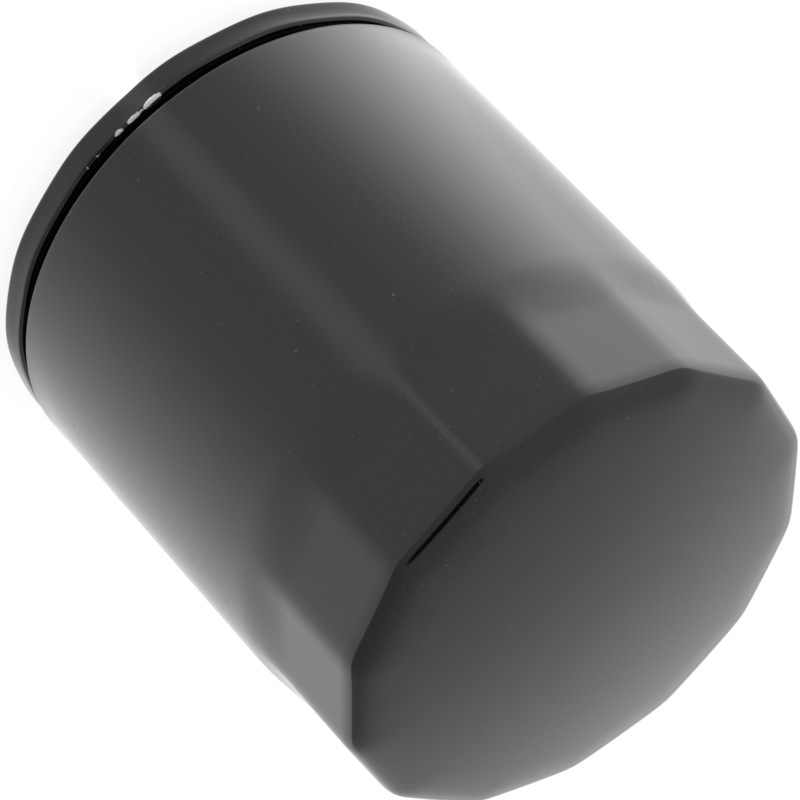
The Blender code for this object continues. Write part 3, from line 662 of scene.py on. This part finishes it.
def can_path():
    """Middle line of the can's sheet, from the crown's centre down to the hook."""
    half = SHEET / 2
    crown_steps = 26
    edge_steps = 34
    path = []
    for step in range(crown_steps):
        radius = crown_radius * step / crown_steps
        path.append((radius, can_top - CROWN_HEIGHT * (radius / crown_radius) ** 2 - half))
    slope = 2 * CROWN_HEIGHT / crown_radius
    start = Vector((crown_radius, can_top - CROWN_HEIGHT - half))
    end = Vector((can_radius - half, edge_low))
    leaving = start + EDGE_LEAVING * Vector((1.0, -slope))
    arriving = end + Vector((0.0, EDGE_ARRIVING))
    for step in range(edge_steps + 1):
        t = 1 - (1 - step / edge_steps) ** 1.3
        point = (1 - t) ** 3 * start + 3 * t * (1 - t) ** 2 * leaving
        point += 3 * t ** 2 * (1 - t) * arriving + t ** 3 * end
        path.append(tuple(point))
    neck = radii("can", seam_low, seam_top)[0] + half
    hook = neck + 2 * (SHEET + GAP)
    hook_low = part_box("can")[0].z + half
    wall = can_radius - half
    path += dense([path[-1], (wall, flats_start), (wall, shoulder_height + 1.4 * MM)], 1.1 * MM)[1:]
    turn_in = [
        path[-1], (wall, shoulder_height + half), (neck, shoulder_height + half), (neck, seam_top - SHEET),
    ]
    path += soft_path(turn_in, 0.8 * MM, 8)[1:-1]
    foot = [path[-1], (neck, hook_low), (hook, hook_low), (hook, seam_top - SHEET - GAP)]
    path += soft_path(foot, 0.35 * MM, 4)[1:]
    return path


def make_can(enamel):
    """Deep-drawn can."""
    points, faces = turned(pressed(can_path()), CAN_SIDES, can_shape)
    return add_mesh("can_shell", points, faces, "casing", "can", enamel)


def lid_wave(radius, height, angle):
    """Reach of the lid: the seam's outer wall is a little wavy from the seaming rollers."""
    outer = box_radius("seam_lid")
    near = smooth((radius - outer + 1.6 * MM) / (1.6 * MM))
    wave = 0.5 - 0.5 * math.sin(FLAT_COUNT * angle + 0.8) * (0.8 + 0.2 * math.sin(3 * angle))
    return radius - near * wave * SEAM_WAVE


def make_lid(enamel):
    """Lid: the seam's outer hook and wall, the gasket's channel and the flange on the plate."""
    half = SHEET / 2
    outer = box_radius("seam_lid")
    inner = radii("seam_lid")[0]
    gasket_inner, gasket_outer = radii("base_gasket")
    cover_hook = outer - half - 2 * (SHEET + GAP)
    chuck_wall = gasket_outer + GAP + half
    channel_inner = gasket_inner - GAP - half
    channel_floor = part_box("base_gasket")[1].z + GAP + half
    lip_low = heights("seam_lid", inner, gasket_inner)[0] + half
    lip_inner = channel_inner - 1.3 * MM
    wall_middle = (seam_low + channel_floor) / 2
    seam = [
        (cover_hook, seam_low + 2.6 * MM), (cover_hook, seam_top - half), (outer - half, seam_top - half),
        (outer - half, seam_low + half), (chuck_wall, seam_low + half), (chuck_wall, wall_middle),
    ]
    channel = [
        (chuck_wall, wall_middle), (chuck_wall, channel_floor), (channel_inner, channel_floor),
        (channel_inner, lip_low), (lip_inner, lip_low), (lip_inner, channel_floor), (inner, channel_floor),
    ]
    path = soft_path(seam, 0.75 * MM, 8) + soft_path(channel, 0.5 * MM, 6)[1:]
    points, faces = turned(pressed(path), LID_SIDES, lid_wave)
    piece = add_mesh("lid_shell", points, faces, "casing", "seam_lid", enamel)
    wear = piece.data.attributes.new("wear", "FLOAT", "POINT")
    for vertex, value in zip(piece.data.vertices, wear.data):
        value.value = rim_wear(vertex.co, outer)
    return piece


def rim_wear(place, outer):
    """How far the enamel is knocked off the seam's upper edge, from 0 to 1."""
    if place.xy.length < outer - 2 * MM:
        return 0.0
    near_top = max(0.0, 1 - (seam_top - place.z) / MM)
    near_edge = near_top * smooth((place.xy.length - outer + 1.2 * MM) / MM)
    from_camera = math.degrees(math.atan2(place.y, place.x) - CAMERA_AZIMUTH)
    knocked = 0.0
    for middle, width, depth in RIM_CHIPS:
        knocked = max(knocked, depth * math.exp(-((from_camera - middle) / width) ** 2))
    return near_edge ** 0.5 * knocked


def make_compound(material):
    """Sealing compound in the bottom of the seam."""
    low, high = heights("seam_compound")
    inner, outer = radii("seam_compound")
    points, faces = turned(ring_outline(inner, outer, low, high, 0.12 * MM), RING_SIDES)
    return add_mesh("compound_ring", points, faces, "casing", "seam_compound", material)


def make_gasket(rubber):
    """Square-cut gasket with rounded edges and a moulding line round its bore."""
    low, high = heights("base_gasket")
    inner, outer = radii("base_gasket")
    outer = box_radius("base_gasket")
    middle = (low + high) / 2
    line = 0.12 * MM
    outline = [
        (inner, low), (outer, low), (outer, high), (inner, high),
        (inner, middle + line), (inner - line / 2, middle), (inner, middle - line),
    ]
    points, faces = turned(soft_loop(outline, 0.35 * MM, 5), GASKET_SIDES)
    return add_mesh("gasket_ring", points, faces, "casing", "base_gasket", rubber)


def thread_reach(height, angle, low, high):
    """Radius of the threaded bore: a 60 degree thread, opened by a countersink at each mouth."""
    phase = ((height - low) / THREAD_PITCH - angle / (2 * math.pi)) % 1.0
    rise = min(max((abs(2 * phase - 1) - 0.25) / 0.625, 0.0), 1.0)
    bore = THREAD_DIAMETER / 2 - THREAD_DEPTH * (1 - rise)
    mouth = THREAD_DIAMETER / 2 + THREAD_CHAMFER + 0.1 * MM
    return max(bore, mouth - (height - low), mouth - (high - height))


def make_plate(steel):
    """Thick base plate: threaded collar, and a ring of inlet holes with broken edges."""
    low, plate_high = heights("base_plate", box_radius("base_plate") - 1 * MM)
    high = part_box("base_plate")[1].z
    outer = box_radius("base_plate")
    collar = radii("base_plate", high - 1.5 * MM, high - 0.3 * MM)[1]
    bore = 1 * MM
    rows = 16 * math.ceil((high - low) / THREAD_PITCH)
    outside = [
        (bore, high), (collar, high), (collar, plate_high), (outer, plate_high), (outer, low), (bore, low),
    ]
    radius_at = [0.5 * MM, 1.0 * MM, 0.4 * MM, 0.4 * MM]
    outline = [(bore, low + (high - low) * row / rows) for row in range(rows + 1)]
    for index, radius in enumerate(radius_at, start=1):
        outline += bend(outside[index - 1], outside[index], outside[index + 1], radius, 6)

    def shape(radius, height, angle):
        return thread_reach(height, angle, low, high) if radius == bore else radius

    points, faces = turned(outline, PLATE_SIDES, shape)
    plate = add_mesh("threaded_plate", points, faces, "casing", "base_plate", steel)
    circle_radius = inlet_circle()
    cutters = []
    for index in range(INLET_COUNT):
        angle = 2 * math.pi * index / INLET_COUNT
        hole = INLET_DIAMETER / 2
        chamfer = 0.25 * MM
        side = [
            (hole + chamfer, low - chamfer), (hole, low + chamfer), (hole, plate_high - chamfer),
            (hole + 2 * chamfer, plate_high + chamfer), (0.0, plate_high + chamfer), (0.0, low - chamfer),
        ]
        cutter_points, cutter_faces = turned(side, 40)
        x = circle_radius * math.cos(angle)
        y = circle_radius * math.sin(angle)
        cutters.append(([(px + x, py + y, pz) for px, py, pz in cutter_points], cutter_faces))
    carve(plate, *joined(cutters))
    return plate


def inlet_circle():
    """Radius of the circle that the inlet holes' centres lie on."""
    for opening in frame["record"]["physics"]["openings"]:
        if opening["name"] == "oil_inlet_1":
            return math.hypot(*box_centre(opening)[:2])
    raise ValueError("no inlet opening")


def box_centre(opening):
    """Centre of an opening's box."""
    return [(low + high) / 2 for low, high in zip(*opening["box_m"])]


def make_hub(rubber):
    """Sleeve of the anti-drainback valve, with two moulded ribs."""
    low, high = heights("drainback_hub")
    inner, outer = radii("drainback_hub")
    rib = 0.2 * MM
    outline = [(inner, low), (outer, low)]
    for share in (0.35, 0.7):
        height = low + share * (high - low)
        outline += [(outer, height - rib), (outer - rib, height), (outer, height + rib)]
    outline += [(outer, high), (inner, high)]
    points, faces = turned(soft_loop(outline, 0.3 * MM, 4), RING_SIDES)
    return add_mesh("drainback_sleeve", points, faces, "casing", "drainback_hub", rubber)


def make_flap(rubber):
    """Sloping flap of the anti-drainback valve, with a beaded edge."""
    low, high = heights("drainback_lip")
    inner, outer = radii("drainback_lip")
    root_low = heights("drainback_lip", 0.0, inner + 0.5 * MM)[0]
    edge_high = heights("drainback_lip", outer - 0.5 * MM)[1]
    tip = outer - 1.3 * MM
    outline = [
        (inner, root_low), (tip, low), (outer, low),
        (outer, edge_high), (inner + 1 * MM, high), (inner, high),
    ]
    points, faces = turned(soft_loop(outline, 0.3 * MM, 4), RING_SIDES)
    return add_mesh(
        "drainback_skirt", points, faces, "drainback_flap", "drainback_lip", rubber,
    )


# ---- The cartridge ----

def make_lower_cap(tin):
    """Pressed trough with a central collar."""
    low, high = heights("lower_end_cap")
    half = SHEET / 2
    inner, outer = radii("lower_end_cap")
    collar_top = heights("lower_end_cap", 0.0, inner + SHEET * 1.5)[1]
    path = [
        (inner + half, collar_top), (inner + half, low + half),
        (outer - half, low + half), (outer - half, high),
    ]
    points, faces = turned(pressed(soft_path(path, 0.6 * MM, 5)), CAP_SIDES)
    return add_mesh("lower_cap_pressing", points, faces, "cartridge", "lower_end_cap", tin)


def make_upper_cap(tin):
    """Pressed cap with the raised boss that the bypass valve seats on."""
    low, high = heights("upper_end_cap")
    half = SHEET / 2
    inner, outer = radii("upper_end_cap")
    level = high - half - BOSS_HEIGHT
    boss = radii("bypass_cage")[1] - 0.5 * MM
    path = [
        (inner, high - half), (boss - 0.8 * MM, high - half), (boss, level), (outer - half, level),
        (outer - half, low),
    ]
    points, faces = turned(pressed(soft_path(path, 0.55 * MM, 5)), CAP_SIDES)
    return add_mesh("upper_cap_pressing", points, faces, "cartridge", "upper_end_cap", tin)


def make_potting(name, node, glue):
    """Ring of adhesive that holds the paper's end."""
    low, high = heights(node)
    inner, outer = radii(node)
    points, faces = turned(ring_outline(inner, outer, low, high, 0.25 * MM), RING_SIDES)
    return add_mesh(name, points, faces, "cartridge", node, glue)


def pleat_line(inner, outer, count):
    """Middle line of the folded paper, closed, with round folds."""
    fold = PLEAT_FOLD + PAPER / 2
    line = []
    steps = 6
    for pleat in range(count):
        tip_angle = 2 * math.pi * pleat / count
        root_angle = 2 * math.pi * (pleat + 0.5) / count
        for angle, centre, start in (
            (tip_angle, outer - PAPER / 2 - fold, -math.pi / 2),
            (root_angle, inner + PAPER / 2 + fold, math.pi * 1.5),
        ):
            turn = math.pi if start < 0 else -math.pi
            for step in range(steps + 1):
                swing = start + turn * step / steps
                out = centre + fold * math.cos(swing)
                sideways = fold * math.sin(swing)
                line.append((
                    out * math.cos(angle) - sideways * math.sin(angle),
                    out * math.sin(angle) + sideways * math.cos(angle),
                ))
    return line


def make_media(paper):
    """Pleated paper star."""
    low, high = heights("pleated_media")
    inner, outer = radii("pleated_media")
    count = int(2 * math.pi * inner / PLEAT_PITCH)
    line = pleat_line(inner, outer, count)
    total = len(line)
    points = []
    for side in (1, -1):
        for height in (low, high):
            for index, point in enumerate(line):
                along = Vector(line[(index + 1) % total]) - Vector(line[index - 1])
                normal = Vector((along.y, -along.x)).normalized()
                x, y = Vector(point) + side * PAPER / 2 * normal
                points.append((x, y, height))
    out_low, out_high, in_low, in_high = (range(total * part, total * (part + 1)) for part in range(4))
    faces = []
    for one, other in ((out_low, out_high), (out_high, in_high), (in_high, in_low), (in_low, out_low)):
        for index in range(total):
            following = (index + 1) % total
            faces.append([one[index], one[following], other[following], other[index]])
    return add_mesh("paper_star", points, faces, "cartridge", "pleated_media", paper)


def make_clip(steel):
    """Channel pinched over the pleat where the paper's ends meet."""
    low_corner, high_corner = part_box("media_seam_clip")
    sheet = 0.4 * MM
    half_width = high_corner.y
    back = high_corner.x
    mouth = low_corner.x
    path = [
        (mouth, sheet / 2 - half_width), (back - sheet / 2, sheet / 2 - half_width),
        (back - sheet / 2, half_width - sheet / 2), (mouth, half_width - sheet / 2),
    ]
    loop = pressed_open(soft_path(path, 0.5 * MM, 5), sheet)
    points, faces = prism([loop], low_corner.z, high_corner.z, lambda x, y, z: (x, y, z))
    return add_mesh("seam_clip_channel", points, faces, "cartridge", "media_seam_clip", steel)


def pressed_open(path, sheet):
    """Outline of a sheet along a path that may lie on either side of the axis."""
    sides = ([], [])
    last = len(path) - 1
    for index, point in enumerate(path):
        along = Vector(path[min(index + 1, last)]) - Vector(path[max(index - 1, 0)])
        normal = Vector((-along.y, along.x)).normalized()
        for side, sign in zip(sides, (1, -1)):
            side.append(tuple(Vector(point) + sign * sheet / 2 * normal))
    return sides[1] + sides[0][::-1]


def make_tube(steel):
    """Perforated centre tube."""
    low, high = heights("center_tube")
    inner, outer = radii("center_tube")
    media_low, media_high = heights("pleated_media")
    points, faces = turned(ring_outline(inner, outer, low, high, 0.1 * MM), RING_SIDES)
    tube = add_mesh("perforated_tube", points, faces, "cartridge", "center_tube", steel)
    lowest = media_low + TUBE_HOLE_SPACING / 2
    highest = media_high - TUBE_HOLE_SPACING / 2
    rows = int((highest - lowest) / TUBE_HOLE_SPACING) + 1
    cutters = []
    for column in range(TUBE_HOLE_COLUMNS):
        angle = 2 * math.pi * column / TUBE_HOLE_COLUMNS
        for row in range(rows):
            height = lowest + (highest - lowest) * row / max(rows - 1, 1)
            hole = circle(TUBE_HOLE_DIAMETER / 2, 28)
            cutters.append(prism([hole], inner - 1 * MM, outer + 1 * MM, radial(angle, height)))
    carve(tube, *joined(cutters))
    return tube


# ---- The bypass valve ----

def make_cage(steel):
    """Slotted cup that holds the bypass spring and guides the stem."""
    low, high = heights("bypass_cage")
    inner, outer = radii("bypass_cage")
    half = SHEET / 2
    wall = radii("bypass_cage", low + SHEET, high - 2 * SHEET)[1] - half
    path = [(outer, high - half), (wall, high - half), (wall, low + half), (inner, low + half)]
    points, faces = turned(pressed(soft_path(path, 0.5 * MM, 5)), RING_SIDES)
    cage = add_mesh("valve_cage", points, faces, "cartridge", "bypass_cage", steel)
    half_width = 0.5 * math.pi * wall / CAGE_WINDOWS
    half_height = (high - low) / 4
    window = soft_loop([
        (-half_width, -half_height), (half_width, -half_height),
        (half_width, half_height), (-half_width, half_height),
    ], 0.8 * MM, 5)
    cutters = []
    for index in range(CAGE_WINDOWS):
        angle = 2 * math.pi * index / CAGE_WINDOWS
        cutters.append(prism([window], wall - 1 * MM, wall + 1 * MM, radial(angle, (low + high) / 2)))
    carve(cage, *joined(cutters))
    return cage


def make_poppet(steel):
    """Valve disc with a short skirt."""
    low, high = heights("bypass_poppet")
    inner, outer = radii("bypass_poppet")
    sheet = DISC_SHEET
    path = [(inner, high - sheet / 2), (outer - sheet / 2, high - sheet / 2), (outer - sheet / 2, low)]
    points, faces = turned(pressed(soft_path(path, 0.5 * MM, 5), sheet), DISC_SIDES)
    return add_mesh("valve_disc", points, faces, "bypass_valve", "bypass_poppet", steel)


def make_seal(rubber):
    """Washer that meets the seat."""
    low, high = heights("bypass_seal")
    inner, outer = radii("bypass_seal")
    points, faces = turned(ring_outline(inner, outer, low, high, 0.25 * MM), DISC_SIDES)
    return add_mesh("valve_washer", points, faces, "bypass_valve", "bypass_seal", rubber)


def make_stem(steel):
    """Rivet with a domed head above the washer and a guide pin."""
    low, high = heights("bypass_stem")
    seal_low, seal_high = heights("bypass_seal")
    disc_low = heights("bypass_poppet")[1] - DISC_SHEET
    head = radii("bypass_stem")[1]
    pin = radii("bypass_poppet")[0] - GAP
    shoulder_top = disc_low - GAP
    collar = pin + 2 * GAP
    corners = [
        (pin, low), (pin, shoulder_top - pin), (collar, shoulder_top - pin), (collar, shoulder_top),
        (pin, shoulder_top), (pin, seal_low), (head, seal_low), (head, seal_high),
    ]
    outline = [(0.0, low)]
    path = [(0.0, low), *corners, (head * 0.5, high)]
    for before, corner, after in zip(path, path[1:], path[2:]):
        outline += bend(before, corner, after, 0.2 * MM, 3)
    outline += [(head * 0.5, high - 0.08 * MM), (head * 0.25, high), (0.0, high)]
    points, faces = turned(outline, 72)
    return add_mesh("valve_rivet", points, faces, "bypass_valve", "bypass_stem", steel)


def coil(node, wire, turns, steps=44):
    """Centre line of a spring that fills its CAD node: a flat turn at each end, even turns between."""
    low, high = heights(node)
    low_end = radii(node, low, low + wire)
    high_end = radii(node, high - wire, high)
    low_radius = (low_end[0] + low_end[1]) / 2
    high_radius = (high_end[0] + high_end[1]) / 2
    pitch = wire + GAP
    middle_pitch = (high - low - wire - 2 * pitch) / (turns - 2)
    line = []
    for step in range(turns * steps + 1):
        turn = step / steps
        climbed = pitch * min(turn, 1.0) + middle_pitch * min(max(turn - 1.0, 0.0), turns - 2.0)
        climbed += pitch * max(turn - (turns - 1.0), 0.0)
        radius = low_radius + (high_radius - low_radius) * turn / turns
        angle = 2 * math.pi * turn
        line.append((radius * math.cos(angle), radius * math.sin(angle), low + wire / 2 + climbed))
    return line


def make_spring(name, node, body, wire, turns, anchor_height, steel):
    """Round wire coil."""
    points, faces = wire_mesh(coil(node, wire, turns), wire / 2)
    piece = add_mesh(name, points, faces, body, node, steel)
    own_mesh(piece)
    return piece


# ---- Stage, light and camera ----

def angle_about_apex(tree, where, azimuth):
    """Angle of a place on the sheet from an azimuth, about a point a little that way from the axis."""
    moved = add_node(tree, "ShaderNodeMapping", {
        "Vector": where, "Location": (-PAINTED_POOL_APEX, 0.0, 0.0), "Rotation": (0.0, 0.0, -azimuth),
    })
    parts = add_node(tree, "ShaderNodeSeparateXYZ", {"Vector": moved.outputs[0]})
    return math_node(tree, "ARCTAN2", parts.outputs["Y"], parts.outputs["X"])


def make_floor():
    """Pale glowing sheet: an even glow, painted pools of light at each side of the filter that fade out near
    it, and a painted strip of light in front.
    """
    edge = SHEET_REACH
    outline = [(-edge, -edge), (edge, -edge), (edge, edge), (-edge, edge)]
    corners = [(x, y, SHEET_LEVEL) for x, y in outline]
    data = bpy.data.meshes.new("floor")
    data.from_pydata(corners, [], [(0, 1, 2, 3)])
    floor = bpy.data.objects.new("floor", data)
    bpy.context.scene.collection.objects.link(floor)
    material, tree, shader = start_material("sheet_with_painted_light", (0.2, 0.2, 0.2), 0.9)
    where = add_node(tree, "ShaderNodeTexCoord").outputs["Object"]
    # Painted light: the glow is raised in a pool at each side and in a strip in front, and the pools fade out
    # near the filter; no lamp lights the sheet.
    turns = math_node(tree, "DIVIDE", angle_about_apex(tree, where, CAMERA_AZIMUTH), math.pi)
    strengths = []
    for sign, stops in ((1, LEFT_PAINTED_POOL), (-1, RIGHT_PAINTED_POOL)):
        ramp = add_node(tree, "ShaderNodeValToRGB", {"Fac": math_node(tree, "MULTIPLY", turns, sign)})
        fill_ramp(ramp.color_ramp, stops)
        strengths.append(ramp.outputs["Color"])
    total = math_node(tree, "ADD", *strengths)
    total = math_node(tree, "MULTIPLY", total, PAINTED_POOL_SCALE)
    clear_of_filter = step_up(tree, length_of(tree, where), PAINTED_POOL_START, PAINTED_POOL_FULL)
    total = math_node(tree, "MULTIPLY", total, clear_of_filter)
    aside = math_node(tree, "ABSOLUTE", angle_about_apex(tree, where, CAMERA_AZIMUTH + STRIP_TURN))
    strip = step_up(tree, aside, STRIP_HALF_WIDTH, STRIP_CORE, STRIP_GLOW)
    total = math_node(tree, "ADD", total, strip)
    total = math_node(tree, "ADD", total, SHEET_GLOW)
    tree.links.new(total, shader.inputs["Emission Strength"])
    shader.inputs["Emission Color"].default_value = (1.0, 1.0, 1.0, 1.0)
    data.materials.append(material)


def fill_ramp(ramp, stops):
    """Set a ramp's grey stops, with soft changes between them."""
    ramp.interpolation = "B_SPLINE"
    while len(ramp.elements) < len(stops):
        ramp.elements.new(0.5)
    for element, (position, grey) in zip(ramp.elements, stops):
        element.position = position
        element.color = (grey, grey, grey, 1.0)


def toward(azimuth, elevation):
    """Unit direction of an azimuth and elevation."""
    flat = math.cos(elevation)
    return flat * math.cos(azimuth), flat * math.sin(azimuth), math.sin(elevation)


def make_world():
    """White studio surround, brighter low down behind the filter, with a dark stand beside the camera."""
    world = bpy.data.worlds.new("studio")
    bpy.context.scene.world = world
    world.use_nodes = True
    tree = world.node_tree
    background = tree.nodes["Background"]
    direction = add_node(tree, "ShaderNodeTexCoord").outputs["Generated"]
    facing = dot_with(tree, direction, toward(CAMERA_AZIMUTH + DARK_ASIDE, DARK_ELEVATION))
    dark = step_up(tree, facing, math.cos(DARK_RADIUS * 1.25), math.cos(DARK_RADIUS * 0.75))
    behind = dot_with(tree, direction, (-math.cos(CAMERA_AZIMUTH), -math.sin(CAMERA_AZIMUTH), 0.0))
    wall = step_up(tree, behind, 0.3, 1.0, WALL_GLOW)
    side = dot_with(tree, direction, (-SIDE_GLOW, 0.0, 0.0))
    level = math_node(tree, "ADD", math_node(tree, "ADD", wall, side), ROOM_GLOW)
    level = math_node(tree, "MULTIPLY", level, math_node(tree, "SUBTRACT", 1.0, dark))
    tree.links.new(level, background.inputs["Strength"])
    background.inputs["Color"].default_value = (1.0, 1.0, 1.0, 1.0)


def make_camera():
    """Long lens, looking down on the filter's side with its closed end to the lower right."""
    data = bpy.data.cameras.new("camera")
    data.lens = CAMERA_LENS
    data.sensor_width = SENSOR_WIDTH
    camera = bpy.data.objects.new("camera", data)
    bpy.context.scene.collection.objects.link(camera)
    back = Vector(toward(CAMERA_AZIMUTH, CAMERA_ELEVATION))
    level_right = Vector((-back.y, back.x, 0.0)).normalized()
    level_up = back.cross(level_right)
    right = math.cos(CAMERA_ROLL) * level_right + math.sin(CAMERA_ROLL) * level_up
    up = back.cross(right)
    turn = Matrix((right, up, back)).transposed()
    place = Vector(CAMERA_AIM) + CAMERA_DISTANCE * back
    camera.matrix_world = Matrix.Translation(place) @ turn.to_4x4()
    bpy.context.scene.camera = camera


# ---- Assembly ----

def make_filter():
    """All pieces, from the casing inwards."""
    enamel = make_enamel("can_enamel")
    black_rubber = make_rubber("gasket_rubber", (0.02, 0.02, 0.021), 0.55)
    valve_rubber = make_rubber("valve_rubber", (0.4, 0.1, 0.03), 0.5)
    spring_steel = make_steel("spring_steel", (0.42, 0.42, 0.44), 0.32, (1.0, 1.0, 4.0), 0.004 * MM)
    tin = make_plated("cap_tinplate", (0.66, 0.65, 0.62), 0.34, 260.0)
    glue = make_glue("potting", (0.5, 0.05, 0.03), 0.45)
    thin_steel = make_plated("tube_steel", (0.6, 0.6, 0.6), 0.38, 340.0)
    make_can(enamel)
    make_lid(enamel)
    make_compound(make_glue("seam_compound", (0.35, 0.33, 0.28), 0.7))
    make_gasket(black_rubber)
    make_plate(make_turned_steel("base_plate_steel", (0.62, 0.6, 0.54), 0.32))
    make_hub(valve_rubber)
    make_flap(valve_rubber)
    make_lower_cap(tin)
    make_upper_cap(tin)
    make_potting("lower_glue", "lower_potting", glue)
    make_potting("upper_glue", "upper_potting", glue)
    make_media(make_paper())
    make_clip(make_steel("clip_steel", (0.6, 0.6, 0.6), 0.35, (1.0, 1.0, 0.05), 0.004 * MM))
    make_tube(thin_steel)
    make_cage(make_plated("cage_steel", (0.56, 0.56, 0.55), 0.36, 300.0))
    make_poppet(make_turned_steel("poppet_steel", (0.6, 0.6, 0.58), 0.34))
    make_seal(black_rubber)
    make_stem(make_turned_steel("stem_steel", (0.62, 0.62, 0.62), 0.28))
    low, high = heights("element_spring")
    make_spring(
        "element_coil", "element_spring", "casing", ELEMENT_WIRE, ELEMENT_TURNS,
        high, spring_steel,
    )
    low, high = heights("bypass_spring")
    make_spring(
        "bypass_coil", "bypass_spring", "cartridge", BYPASS_WIRE, BYPASS_TURNS,
        low, spring_steel,
    )


make_filter()
make_floor()
make_world()
make_camera()
bpy.context.scene.view_settings.view_transform = "Standard"
